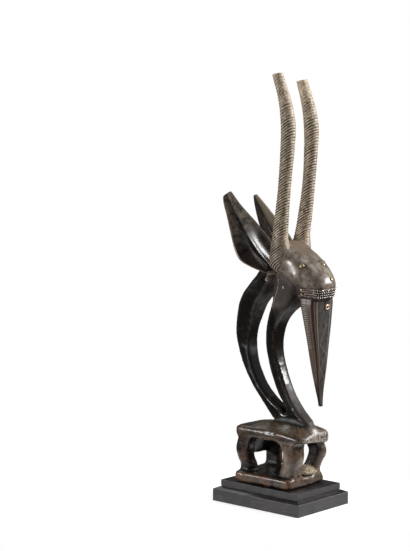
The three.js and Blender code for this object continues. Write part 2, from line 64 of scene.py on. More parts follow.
def linear(code):
    """Linear colour of an sRGB hex value."""
    parts = [int(code[i:i + 2], 16) / 255 for i in (1, 3, 5)]
    return tuple(c / 12.92 if c <= 0.04045 else ((c + 0.055) / 1.055) ** 2.4 for c in parts) + (1.0,)


def new_mesh(name, points, faces, edges=()):
    """Smooth-shaded object in the scene from points in metres."""
    mesh = bpy.data.meshes.new(name)
    mesh.from_pydata([tuple(p) for p in points], [tuple(e) for e in edges], [tuple(f) for f in faces])
    mesh.validate()
    mesh.polygons.foreach_set("use_smooth", [True] * len(mesh.polygons))
    thing = bpy.data.objects.new(name, mesh)
    scene.collection.objects.link(thing)
    return thing


def baked(thing):
    """The object with its modifiers made part of its mesh."""
    depsgraph = bpy.context.evaluated_depsgraph_get()
    mesh = bpy.data.meshes.new_from_object(thing.evaluated_get(depsgraph))
    thing.modifiers.clear()
    thing.data = mesh
    return thing


def add(tree, kind, inputs=None, stops=(), **settings):
    """One node with its settings and a ramp's stops; an input is a value or a (node, output) to link."""
    node = tree.nodes.new(kind)
    for key, value in settings.items():
        setattr(node, key, value)
    for i, (position, colour) in enumerate(stops):
        node.color_ramp.elements[i].position = position
        node.color_ramp.elements[i].color = linear(colour)
    for key, value in (inputs or {}).items():
        if isinstance(value, tuple) and isinstance(value[0], bpy.types.Node):
            tree.links.new(value[0].outputs[value[1]], node.inputs[key])
        else:
            node.inputs[key].default_value = value
    return node


def new_material(name):
    """A new material and its empty node tree to build in."""
    material = bpy.data.materials.new(name)
    material.use_nodes = True
    material.node_tree.nodes.clear()
    return material, material.node_tree


def walls(rings, sides):
    """Faces between rings of points that lie one above the other."""
    return [(a, b, b + sides, a + sides) for low in range(0, (rings - 1) * sides, sides)
            for a, b in [(low + k, low + (k + 1) % sides) for k in range(sides)]]


def rectangle(inset, height):
    """Corners of the block's plan at one level."""
    x = PLINTH_LENGTH / 2 - inset
    y = PLINTH_WIDTH / 2 - inset
    return [(x, y, height), (-x, y, height), (-x, -y, height), (x, -y, height)]


slope_top = PLINTH_STEP + PLINTH_SLOPE
recess = PLINTH_INSET + PLINTH_RECESS
profile = [
    (0, 0),
    (0, PLINTH_STEP),
    (PLINTH_INSET - PLINTH_RECESS, slope_top),
    (recess, slope_top),
    (recess, slope_top + PLINTH_RECESS_HEIGHT),
    (PLINTH_INSET, slope_top + PLINTH_RECESS_HEIGHT),
    (PLINTH_INSET, PLINTH_HEIGHT),
]
points = [p for inset, height in profile for p in rectangle(inset, height)]
under, above = (3, 2, 1, 0), tuple(range(len(points) - 4, len(points)))
plinth = new_mesh("plinth_block", points, [under, *walls(len(profile), 4), above])
bevel = plinth.modifiers.new("arris", "BEVEL")
bevel.width = ARRIS
bevel.segments = 3
bevel.limit_method = "ANGLE"
bevel.angle_limit = math.radians(20)
bevel.harden_normals = True
baked(plinth)

# Brushed black lacquer rubbed to a satin: dark, with level rubbing marks and a haze of dust in patches
# of 30 mm. The marks are drawn 1.1 mm apart and 11 mm long, coarser than real ones, so that they show.
lacquer, tree = new_material("satin_black_lacquer")
place = add(tree, "ShaderNodeTexCoord")
dust = add(tree, "ShaderNodeTexNoise", {"Vector": (place, "Object"), "Scale": 34.0, "Detail": 6.0})
rubbed = add(tree, "ShaderNodeMapping", {"Vector": (place, "Object"), "Scale": (90.0, 90.0, 900.0)})
marks = add(tree, "ShaderNodeTexNoise", {"Vector": (rubbed, "Vector"), "Scale": 1.0, "Detail": 3.0})
haze = add(tree, "ShaderNodeMath", {0: (dust, "Fac"), 1: (marks, "Fac")}, operation="MULTIPLY")
tone = add(tree, "ShaderNodeValToRGB", {"Fac": (haze, "Value")}, stops=[(0.15, "#141213"), (0.42, "#353031")])
sheen = add(tree, "ShaderNodeMapRange", {"Value": (marks, "Fac"), "To Min": 0.26, "To Max": 0.44})
relief = add(tree, "ShaderNodeBump", {"Height": (marks, "Fac"), "Strength": 0.08, "Distance": 0.0004})
lacquer_face = add(tree, "ShaderNodeBsdfPrincipled", {
    "Base Color": (tone, "Color"), "Roughness": (sheen, "Result"), "Normal": (relief, "Normal"),
    "IOR": 1.5, "Specular IOR Level": 0.5})
add(tree, "ShaderNodeOutputMaterial", {"Surface": (lacquer_face, "BSDF")})
plinth.data.materials.append(lacquer)
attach(plinth, "root")
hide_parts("plinth")

# Carving: one block of dense tropical wood, adzed and knifed to shape: a stool, the body slab, an
# openwork neck of two arched limbs, the head, its hanging muzzle, ears and ringed horns. Years of
# oil and handling left a near-black gloss on the neck; the horns and slab are dusty and worn.
FLOOR = PLINTH_HEIGHT + 0.0003
FIGURE = 0.731
STOOL_WIDTH = 0.105
STOOL_LENGTH = 0.128
STOOL_SLAB = 0.019
STOOL_ROUND = 0.0025
STOOL_WEAR = 0.010
SHIFT_Y = -0.002
LEG_HEIGHT = 0.062
LEG_X = 0.033
LEG_Y = 0.0325
LEG_SPAN_X = 0.124
LEG_SPAN_Y = 0.086
KNEE = 0.009
BODY_LENGTH = 0.161
BODY_WIDTH = 0.084
BODY_SLAB = 0.018
BODY_CORNER = 0.010
BODY_DOME = 0.012
LINTEL_DROP = 0.038
LINTEL_DEPTH = 0.015
SLAB_TOP = FLOOR + STOOL_SLAB
BODY_UNDER = SLAB_TOP + LEG_HEIGHT
BODY_EDGE = BODY_UNDER + BODY_SLAB
KNIFE_STEP = 0.00225
MM = 0.001
PER_MILLE = FIGURE / 1000


def up(share):
    """Height of a share of the figure's own height."""
    return FLOOR + share * FIGURE


def along(rows, at):
    """Smooth values at one or many positions, through rows of (position, value, ...)."""
    rows = np.array(rows, float)
    x, v = rows[:, 0], rows[:, 1:]
    at = np.clip(np.asarray(at, float), x[0], x[-1])
    i = np.clip(np.searchsorted(x, at, side="right") - 1, 0, len(x) - 2)
    slope = np.empty_like(v)
    slope[1:-1] = (v[2:] - v[:-2]) / (x[2:] - x[:-2])[:, None]
    slope[0] = (v[1] - v[0]) / (x[1] - x[0])
    slope[-1] = (v[-1] - v[-2]) / (x[-1] - x[-2])
    span = (x[i + 1] - x[i])[..., None]
    t = ((at - x[i])[..., None]) / span
    return (v[i] * (2 * t**3 - 3 * t**2 + 1) + slope[i] * span * (t**3 - 2 * t**2 + t)
            + v[i + 1] * (3 * t**2 - 2 * t**3) + slope[i + 1] * span * (t**3 - t**2))


def around(sides, start=0.0):
    """Angles of evenly spaced points round a circle."""
    return 2 * np.pi * (np.arange(sides) + start) / sides


def stacked(x, y, z):
    """Points from their coordinates, each one number or one for each point."""
    return np.stack(np.broadcast_arrays(x, y, z), 1)


def section(z, back, front, half, power, sides, middle=0.0):
    """Rounded section at one level, a superellipse in plan."""
    a = around(sides, 0.5)
    px, py = [np.sign(v) * np.abs(v) ** (2 / power) for v in (np.cos(a), np.sin(a))]
    return stacked((back + front) / 2 + (front - back) / 2 * px, middle + half * py, z)


def skin(rings):
    """Points and faces of a closed body through rings of equal length."""
    sides = len(rings[0])
    points = np.concatenate(list(rings) + [rings[0].mean(0)[None], rings[-1].mean(0)[None]])
    low, high = len(points) - 2, len(points) - 1
    faces = walls(len(rings), sides)
    top = (len(rings) - 1) * sides
    for k in range(sides):
        n = (k + 1) % sides
        faces += [(low, n, k), (high, top + k, top + n)]
    return points, faces


def loft(rows, count, sides):
    """Closed body through rows of (share of height, back, front, half width, squareness)."""
    shares = np.linspace(rows[0][0], rows[-1][0], count + 1)
    values = along(rows, shares)
    return skin([section(up(s), *(v[:3] * PER_MILLE), v[3], sides) for s, v in zip(shares, values)])


def outline(corners, cut, per_side):
    """Plan of a slab as a ring of points, its corners cut across and eased."""
    ring = []
    for i in range(4):
        here = np.array(corners[i])
        before, after = np.array(corners[i - 1]), np.array(corners[(i + 1) % 4])
        a = here + (before - here) * cut / np.linalg.norm(before - here)
        b = here + (after - here) * cut / np.linalg.norm(after - here)
        for t in np.linspace(0, 1, 7):
            ring.append(a * (1 - t) ** 2 + (here * 0.28 + (a + b) * 0.36) * 2 * t * (1 - t) + b * t**2)
        stop = after + (here - after) * cut / np.linalg.norm(after - here)
        for t in np.linspace(0, 1, per_side + 2)[1:-1]:
            ring.append(b + (stop - b) * t)
    return np.array(ring)


def plate(plan, z, grow_x, grow_y, middle):
    """The plan at one level, grown about its middle."""
    x = middle[0] + (plan[:, 0] - middle[0]) * grow_x
    y = middle[1] + (plan[:, 1] - middle[1]) * grow_y
    return stacked(x, y, z)


def stool_slab():
    """Lower slab; its front top edge is worn down towards the far corner."""
    x = STOOL_LENGTH / 2
    near, far = SHIFT_Y - STOOL_WIDTH / 2, SHIFT_Y + STOOL_WIDTH / 2
    plan = outline([(-x, near), (x, near), (x, far), (-x, far)], 0.005, 16)
    eased = 1 - STOOL_ROUND / x
    rings = [plate(plan, z, g, g, (0, SHIFT_Y)) for z, g in [
        (FLOOR, eased), (FLOOR + STOOL_ROUND, 1), (SLAB_TOP - STOOL_ROUND, 1), (SLAB_TOP, eased)]]
    low, edge, top = rings[1:]
    low[:, 2] += fade(low[:, 0] + low[:, 1], 0.085, 0.025) * STOOL_WEAR * 0.5
    edge[:, 2] -= fade(edge[:, 0], x / 2, x / 3) * fade(edge[:, 1], near, STOOL_WIDTH) * STOOL_WEAR
    top[:, 0] -= np.maximum(0, top[:, 0] - x * 0.8) * 0.3 * (top[:, 1] - near) / STOOL_WIDTH
    return skin(rings)


def leg(end, side, depth_x, depth_y, bow):
    """One bowed leg, its knee turned out to the corner of the stool."""
    rows = [(0, 0.1, 1.03), (0.14, 0, 1), (0.38, 0.6, 1), (0.6, 1, 1.02), (0.76, 0.75, 1.06),
            (0.88, 0.55, 1.2), (1, 0.5, 1.5)]
    rings = []
    for s in np.linspace(0, 1, 41):
        bulge, size = along(rows, s)
        outer_x = LEG_SPAN_X / 2 + bulge * bow
        outer_y = LEG_SPAN_Y / 2 + bulge * KNEE * 0.3
        inner_x, inner_y = outer_x - depth_x * size, outer_y - depth_y * size
        z = SLAB_TOP - STOOL_ROUND + s * (LEG_HEIGHT + STOOL_ROUND + BODY_SLAB / 3)
        back, front = sorted((end * inner_x, end * outer_x))
        rings.append(section(z, back, front, (outer_y - inner_y) / 2, 3.4, 40,
                             side * (inner_y + outer_y) / 2))
    return skin(rings)


def body_slab():
    """The animal's body: a slab with a domed back, thicker at its far front corner."""
    x, y = BODY_LENGTH / 2, BODY_WIDTH / 2
    middle = x * 0.07
    plan = outline([(middle - x, SHIFT_Y - y), (middle + x, SHIFT_Y - y * 1.04),
                    (middle + x * 0.98, SHIFT_Y + y), (middle - x * 0.95, SHIFT_Y + y)], BODY_CORNER, 20)
    rise = [(BODY_UNDER, 0.98, 0.975), (BODY_UNDER + 0.0015, 0.992, 0.99), (BODY_UNDER + 0.003, 1, 1),
            (BODY_EDGE - 0.003, 1, 1), (BODY_EDGE - 0.001, 0.99, 0.985), (BODY_EDGE, 0.975, 0.95),
            (BODY_EDGE + BODY_DOME * 0.3, 0.92, 0.8), (BODY_EDGE + BODY_DOME * 0.55, 0.86, 0.66),
            (BODY_EDGE + BODY_DOME * 0.82, 0.76, 0.5), (BODY_EDGE + BODY_DOME, 0.66, 0.34)]
    rings = []
    for i, (z, gx, gy) in enumerate(rise):
        ring = plate(plan, z, gx, gy, (middle, SHIFT_Y))
        front = np.maximum(0, (ring[:, 0] - x * 0.4) / (x * 0.65))
        near = np.maximum(0, (SHIFT_Y - ring[:, 1]) / y)
        far = np.maximum(0, (ring[:, 1] - SHIFT_Y) / y)
        if i > 5:
            spine = np.clip((ring[:, 0] + x * 0.9) / (x * 0.8), 0.1, 1)
            ring[:, 2] = BODY_EDGE + (ring[:, 2] - BODY_EDGE) * spine
        ring[:, 2] += front * (4 * near - 5 * far) * MM if i < 3 else -front * (1 + 5 * near) * MM
        rings.append(ring)
    return skin(rings)


def rear_lintel():
    """Wall between the rear legs that lowers the opening there."""
    back = -LEG_SPAN_X / 2 - 0.002
    rings = []
    for s in np.linspace(0, 1, 7):
        z = BODY_UNDER + BODY_SLAB / 4 - (LINTEL_DROP + BODY_SLAB / 4) * (1 - s)
        rings.append(section(z, back + 0.002 * (1 - s), back + LINTEL_DEPTH * (0.75 + 0.4 * s),
                             LEG_SPAN_Y / 2 - 0.003, 5, 40))
    return skin(rings)


FOOT = [(0.13, -8.2, 114.9, 19.8, 4), (0.146, -8.2, 106.7, 19.8, 4), (0.155, -10.9, 94.4, 19.2, 4),
        (0.166, -19.2, 83.4, 18.5, 4), (0.172, -24.6, 78, 18.5, 4)]
REAR_LIMB = [(0.158, -15, 34.2, 18.5, 4.5), (0.184, -37.5, 14, 18.5, 5), (0.2, -51.3, -13, 18.5, 5.5),
             (0.222, -70.3, -39, 18.5, 6), (0.245, -87, -58, 18.5, 6), (0.28, -107.5, -76.4, 18.5, 6),
             (0.322, -123.7, -86.2, 19.2, 6), (0.36, -131, -85.5, 20.5, 6), (0.4, -125.5, -73, 24.6, 6),
             (0.435, -115.5, -57, 30, 5), (0.462, -101, -33, 33, 4.5), (0.488, -78, -15, 35, 4),
             (0.505, -63, 6, 37, 3.2), (0.525, -48, 16.4, 38.3, 2.6), (0.55, -10.9, 19.2, 36.9, 2.4)]
FRONT_LIMB = [(0.158, 19.2, 97.1, 18.5, 4.5), (0.172, 27.4, 79, 18.5, 5), (0.19, 25.5, 60.5, 17.8, 5.5),
              (0.215, 7, 41, 17.1, 6), (0.25, -11.8, 22.5, 17.1, 6), (0.29, -26, 6.8, 17.8, 6),
              (0.33, -33.8, -3.6, 19.8, 6), (0.365, -33.4, -2.6, 22.6, 6), (0.395, -27, 7.2, 25.7, 6),
              (0.42, -17.5, 26, 30, 6), (0.44, -9, 50.6, 34.2, 5), (0.472, -4.5, 68.4, 34.2, 4),
              (0.497, -3, 84.8, 35.5, 3.2), (0.52, 8, 82.1, 37, 2.6), (0.545, 16.4, 73.9, 36.5, 2.4)]
SKULL = [(0.462, 71.1, 138.9, 33.5, 4), (0.4675, 69.8, 143, 34.6, 4.2), (0.491, 67, 149.1, 36, 4.2),
         (0.502, 46.5, 150.9, 41.5, 3.2), (0.52, 10.9, 143, 48.3, 2.7), (0.54, -5.5, 127.2, 51, 2.4),
         (0.563, -12.5, 97.1, 51, 2.4), (0.583, -6, 60.2, 46, 2.4), (0.596, 5.5, 42, 36, 2.4)]
MUZZLE = [(0.203, 120.8, 127.8, 4.9, 5), (0.222, 118.5, 126.8, 7.2, 5), (0.243, 114.2, 127.2, 9.8, 6),
          (0.3, 105.8, 130, 19, 6), (0.353, 100.3, 130.8, 27, 6), (0.393, 96.3, 131.4, 34, 6),
          (0.427, 91.3, 131.8, 38.6, 6), (0.453, 86.8, 132.8, 41, 6), (0.4665, 82.8, 134.3, 39, 5)]
BAND_LOW = SKULL[1][0]
BAND_HEIGHT = 0.017
HORN_SPREAD = 0.064
HORN_RADIUS = 0.0134
RING_PITCH = 0.005
RING_DEPTH = 0.0014
RING_SLOPE = 0.62
FAR_HORN_SHORTER = 0.015
HORN_PATH = [(0.515, 32.8, 0.45, 0.75, 1.2), (0.535, 27.6, 0.74, 1.2, 1.26),
             (0.553, 27, 0.87, 1.28, 1.22), (0.58, 28.8, 0.91, 1.2, 1.15), (0.61, 30.9, 0.96, 1.05, 1),
             (0.65, 36.1, 1.01, 0.97, 1), (0.735, 46.6, 1.05, 0.87, 1), (0.83, 54.2, 1.02, 0.96, 1),
             (0.873, 54.7, 0.99, 1, 1), (0.913, 48.6, 0.965, 0.92, 1), (0.949, 38.2, 0.945, 0.83, 1),
             (0.972, 29.4, 0.95, 0.78, 1), (1.04, 5.5, 1, 0.68, 1)]
HORN_FOOT = 0.53
SAW_LEVEL = 1.0007
SAW_TILT = -0.26
SCROLL = [(0.5, 355), (2.8, 364.5), (7, 377), (11.2, 388.7), (13.6, 397), (14.2, 405), (11.1, 412),
          (5.5, 416), (-0.4, 417.2), (-7, 415.5), (-11.5, 411.5)]
SCROLL_RADIUS = 0.0012
KNOB = [(-12.5, 409), (-11.5, 406), (-11.5, 403)]
KNOB_RADIUS = 0.0042
RIBBON = [(355, -1.5, 0.5), (377, -1.1, 7), (400, -2.3, 13.5), (412, -7, 11), (418, -9, -2)]
RIBBON_RISE = 0.0009
RIBBON_FOOT = 0.355
RIBBON_HEAD = 0.418
SCRAPED_FROM = 0.335
NECK_SIDE = 0.012
NECK_TOP = 0.42
CHEEK = (0.058, 0.411)
CHEEK_RISE = 0.0032
CHEEK_RADIUS = 0.0125
EYE = (0.074, 0.437)
STAIN_X = 0.071
STAIN_TOP = 0.43
HEAD_FROM = 0.4
CROWN_FROM = 0.445
DARK_HORN_TOP = 0.49
AGED_FROM = 0.325
MATT_AND_SHADE_TOP = 0.29
SCUFFED_TOP = 0.238
EAR_LENGTH = 0.143
EAR_WIDTH = 0.062
EAR_FOLD = 0.011
EAR_WALL = 0.0062
EAR_LIP = 0.025
FAR_EAR_LOWER = 0.009
EAR = [(-0.12, -0.333, 0.167, 0.8), (0.06, -0.6, 0.267, 0.9), (0.2, -0.735, 0.317, 1),
       (0.34, -0.7, 0.292, 1), (0.5, -0.585, 0.25, 0.9), (0.68, -0.44, 0.183, 0.75),
       (0.84, -0.31, 0.133, 0.55), (0.95, -0.2, 0.1, 0.4), (1, -0.125, 0.083, 0.3)]


def cloud(at, size, seed):
    """Smooth random field from -1 to 1 whose features have the given size in metres."""
    q = at / size + seed * 17.31
    cell = np.floor(q)
    f = q - cell
    f = f * f * (3 - 2 * f)
    total = np.zeros(len(at))
    for corner in np.ndindex(2, 2, 2):
        key = (cell + corner) @ np.array([127.1, 311.7, 74.7])
        dots = np.sin(key) * 43758.5453
        weight = np.prod(np.where(corner, f, 1 - f), 1)
        total += weight * (dots - np.floor(dots))
    return total * 2 - 1


def fade(values, start, over, rough=0.0, low=0.0, high=1.0):
    """Rises from 0 to 1 over a length past the start, or falls if it is negative, within two limits."""
    return np.clip((values - start) / over + rough, low, high)


def read_points(mesh, what="co"):
    """Places of a mesh's points, or their normals."""
    flat = np.empty(len(mesh.vertices) * 3, np.float32)
    mesh.vertices.foreach_get(what, flat)
    return flat.reshape(-1, 3).astype(float)


def write_points(mesh, points):
    mesh.vertices.foreach_set("co", points.astype(np.float32).ravel())
    mesh.update()


def neighbours(mesh):
    """Pairs of joined points, and how many each point has."""
    flat = np.empty(len(mesh.edges) * 2, np.int32)
    mesh.edges.foreach_get("vertices", flat)
    pairs = flat.reshape(-1, 2)
    count = np.bincount(pairs.ravel(), minlength=len(mesh.vertices))
    return pairs, np.maximum(count, 1)[:, None]


def summed(values, pairs):
    """For each point, the sum of its neighbours' values."""
    ends, others = np.concatenate([pairs.T, pairs.T[::-1]], 1)
    return np.stack([np.bincount(ends, column[others], len(values)) for column in values.T], 1)


def relax(values, pairs, count, turns, share=0.5):
    """Values or points drawn towards the mean of their neighbours."""
    for _ in range(turns):
        values = values + (summed(values, pairs) / count - values) * share
    return values


def bend(at, out, pairs, count, turns):
    """How far a rounded copy of the surface lies outside it, in metres: below zero on its ridges."""
    return ((relax(at, pairs, count, turns) - at) * out).sum(1)


def mark(thing, **values):
    """Point attributes of a mesh, each one number or one for each point."""
    for label, value in values.items():
        layer = thing.data.attributes.get(label) or thing.data.attributes.new(label, "FLOAT", "POINT")
        filled = np.broadcast_to(np.asarray(value, np.float32), len(thing.data.vertices))
        layer.data.foreach_set("value", np.ascontiguousarray(filled))
    return thing


MADE = ("horn", "cut", "ear", "ruled", "bare", "ribbon", "tip")


def mark_made(thing, **values):
    """Marks of a piece before it is joined to the others; those that aren't named are zero."""
    return mark(thing, made=1, **{label: values.get(label, 0) for label in MADE})


def read_mark(mesh, label):
    values = np.zeros(len(mesh.vertices), np.float32)
    mesh.attributes[label].data.foreach_get("value", values)
    return values.astype(float)


def surface(*things):
    """Search tree over the faces of several objects."""
    points, faces = [], []
    for thing in things:
        start = len(points)
        points += [v.co.copy() for v in thing.data.vertices]
        faces += [[start + i for i in f.vertices] for f in thing.data.polygons]
    return bvhtree.BVHTree.FromPolygons(points, faces)


def joined(name, parts):
    """One object of several lots of points and faces."""
    points, faces, start = [], [], 0
    for p, f in parts:
        points.append(p)
        faces += [tuple(i + start for i in face) for face in f]
        start += len(p)
    return new_mesh(name, np.concatenate(points), faces)


def unite(thing, *others, operation="UNION"):
    """The object joined with others, or cut by them, which are used up."""
    for other in others:
        cut = thing.modifiers.new("cut", "BOOLEAN")
        cut.solver = "MANIFOLD"
        cut.operation = operation
        cut.object = other
    baked(thing)
    for other in others:
        bpy.data.objects.remove(other)
    return thing


def through(path, density):
    """Smooth points through those of a path, and how far along it each lies."""
    steps = np.linspace(0, len(path) - 1, density * len(path))
    return along([(i, *p) for i, p in enumerate(path)], steps), steps


def bar(path, radius):
    """Closed round bar along a smooth path of points in mm, its ends drawn in."""
    line, steps = through(path, 3)
    line *= MM
    tangent = np.gradient(line, axis=0)
    tangent /= np.linalg.norm(tangent, axis=1)[:, None]
    aside = np.cross(tangent, (0, 1, 0))
    aside /= np.linalg.norm(aside, axis=1)[:, None]
    upward = np.cross(aside, tangent)
    thin = radius * np.sqrt(np.clip(np.minimum(steps, steps[-1] - steps) * 0.5 + 0.15, 0, 1))
    a = around(12)[:, None]
    return skin([p + r * (np.cos(a) * u + np.sin(a) * v) for p, r, u, v in zip(line, thin, upward, aside)])


def laid_on(tree, path, side, sunk):
    """A path of (x, z) in mm laid on one side of the neck and sunk a little into it."""
    spots = []
    for x, z in through(path, 4)[0]:
        hit = tree.ray_cast(Vector((x * MM, side * 0.1, z * MM)), Vector((0, -side, 0)))[0]
        spots.append((x, hit.y / MM - side * sunk, z))
    return spots


def horn_rings(side, start, stop, spacing, sides, depth, inset):
    """Rings of a horn from one share of the height to another, and how deep each point is cut."""
    a = around(sides, 0.5)
    behind = 0.5 - 0.5 * np.cos(a)
    rings, cuts = [], []
    for s in np.linspace(start, stop, round((stop - start) * FIGURE / spacing) + 1):
        slope = RING_SLOPE * (1 + 0.7 * max(0, (0.66 - s) / 0.1))
        level = np.minimum(1.04, s + slope * np.cos(a) * HORN_RADIUS / FIGURE)
        x, spread, size, stretch = along(HORN_PATH, level).T
        wander = stacked(np.cos(a) * 0.012, np.sin(a) * 0.012, s * FIGURE)
        phase = (s - HORN_FOOT) * FIGURE / RING_PITCH + 0.32 * cloud(wander, 0.016, 5 + side)
        cut = ((1 + np.cos(2 * np.pi * phase)) / 2) ** 1.5
        worn = fade(s, 0.935 if side > 0 else 0.985, 0.02)
        plain = fade(s, 0.6, -0.03) * np.clip(np.cos(a) * 2.2 - 1, 0, 1)
        cut *= ((0.45 + 0.55 * behind) * (1 - 0.9 * worn) * (1 - plain) * (1 + 0.5 * cloud(wander, 0.007, 9))
                * (1 - 0.4 * fade(s, 0.86, 0.08)))
        r = HORN_RADIUS * size - depth * cut - inset
        y = side * spread * HORN_SPREAD / 2
        rings.append(stacked(x * PER_MILLE + r * stretch * np.cos(a), y + r * np.sin(a), up(level)))
        cuts.append(cut)
    return rings, np.append(np.concatenate(cuts), (0, 0))


parts = [
    stool_slab(), body_slab(), rear_lintel(),
    leg(1, -1, LEG_X, LEG_Y, KNEE), leg(1, 1, LEG_X, LEG_Y * 0.66, KNEE * 1.4),
    leg(-1, -1, LEG_X * 0.85, LEG_Y * 0.83, KNEE), leg(-1, 1, LEG_X * 1.1, LEG_Y * 0.43, KNEE / 3),
    loft(FOOT, 12, 48), loft(REAR_LIMB, 90, 56), loft(FRONT_LIMB, 90, 56), loft(SKULL, 60, 72)]
for side in (-1, 1):
    parts.append(skin(horn_rings(side, 0.515, 0.6, 0.002, 32, 0, 0.0012)[0]))
figure = joined("carving_wood", parts)
remesh = figure.modifiers.new("knife", "REMESH")
remesh.mode = "VOXEL"
remesh.voxel_size = KNIFE_STEP
baked(figure)
pairs, count = neighbours(figure.data)
at = relax(read_points(figure.data), pairs, count, 3, 0.5)

# The horns' feet flow into the skull, and the cheeks swell above the band.
x, y, z = at.T
foot_x, spread, size, stretch = along(HORN_PATH, (z - FLOOR) / FIGURE).T
aside = np.abs(y) - spread * HORN_SPREAD / 2
from_horn = np.hypot((x - foot_x * PER_MILLE) / stretch, aside) - HORN_RADIUS * size
near_foot = np.exp(-(from_horn / 0.007) ** 2) * fade((z - FLOOR) / FIGURE, HORN_FOOT, 0.02)
at = relax(at, pairs, count, 40, 0.6 * near_foot[:, None])
write_points(figure.data, at)
out = read_points(figure.data, "normal")
x, y, z = at.T
sideward = np.abs(out[:, 1])
swollen = np.exp(-(np.hypot(x - CHEEK[0], z - CHEEK[1]) / CHEEK_RADIUS) ** 2)
above_band = fade(z - up(BAND_LOW), BAND_HEIGHT, 0.006)
at += out * (CHEEK_RISE * swollen * (sideward > 0.3) * above_band)[:, None]

# Knife work, edges of the stool and slab chipped and rubbed round, and a seat eased for the band.
hand = 0.55 * cloud(at, 0.024, 1) + 0.3 * cloud(at, 0.010, 2) + 0.15 * cloud(at, 0.005, 3)
edge = np.clip(-bend(at, out, pairs, count, 8) / (0.5 * MM), 0, 1)
stool = fade(z, BODY_EDGE + 0.004, -0.004)
at = relax(at, pairs, count, 7, 0.5 * (edge * stool)[:, None])
x, y, z = at.T
chip = edge * (0.15 + 0.85 * stool) * fade(cloud(at, 0.014, 7) + 0.6 * cloud(at, 0.006, 8), 0.25, 0.3)
adzed = (1 - stool) * np.abs(cloud(at, 0.011, 31)) * fade(z, 0.38, -0.03)
at += out * (hand * 0.7 * MM - chip * 1.1 * MM - adzed * 0.3 * MM)[:, None]
seat = fade(z, up(BAND_LOW) + BAND_HEIGHT + 0.002, -0.002) * (x > 0.045)
seat *= fade(z - up(BAND_LOW), -0.0015, 0.0015)
at -= out * (seat * (hand * 0.7 + 0.35) * MM)[:, None]
at[:, 2] = np.maximum(z, FLOOR)

# A ribbon left standing on each side of the neck, which ends above in a scroll round a small knob.
ribbon_back, ribbon_front = along(RIBBON, z / MM).T * MM
on_side = (sideward > 0.5) * (np.abs(y) > NECK_SIDE)
past_back = fade(x, ribbon_back, 1.6 * MM) * on_side
ribbon = past_back * fade(x, ribbon_front, -MM) * (z > RIBBON_FOOT) * (z < RIBBON_HEAD)
scraped = past_back * fade(z, SCRAPED_FROM, 0.03, 0.3 * cloud(at, 0.008, 43)) * (z < NECK_TOP)
at += out * (ribbon * RIBBON_RISE * fade(z, RIBBON_FOOT, 0.02))[:, None]
write_points(figure.data, at)
mark_made(figure, ribbon=np.maximum(scraped * 0.75, ribbon))
neck_tree = surface(figure)
scrolls = []
for side in (-1, 1):
    for path, radius, sunk, shown in ((SCROLL, SCROLL_RADIUS, 0.3, 0.6), (KNOB, KNOB_RADIUS, 1.2, 1)):
        raised = new_mesh("raised", *bar(laid_on(neck_tree, path, side, sunk), radius))
        scrolls.append(mark_made(raised, bare=shown))


def box_faces(size):
    """A cube standing on the origin's level."""
    h = size / 2
    points = [(x, y, z) for z in (0, size) for x, y in ((-h, -h), (h, -h), (h, h), (-h, h))]
    return points, [(3, 2, 1, 0), (4, 5, 6, 7), (0, 1, 5, 4), (1, 2, 6, 5), (2, 3, 7, 6), (3, 0, 4, 7)]


def horn(side, shorter):
    """One horn cut round with slanting rings, its tip sawn across; its foot stays plain in front."""
    stop = 1.03 - shorter / FIGURE
    rings, cuts = horn_rings(side, HORN_FOOT, stop, RING_PITCH / 6, 26, RING_DEPTH, 0)
    block = new_mesh("block", *box_faces(0.12))
    turn = Matrix.Rotation(SAW_TILT, 4, "Y")
    tip_x = along(HORN_PATH, 0.972)[0] * PER_MILLE
    spot = Vector((tip_x, side * HORN_SPREAD / 2, up(SAW_LEVEL) - shorter))
    block.data.transform(Matrix.Translation(spot) @ turn)
    return unite(mark_made(new_mesh("horn", *skin(rings)), horn=1, cut=cuts), block, operation="DIFFERENCE")


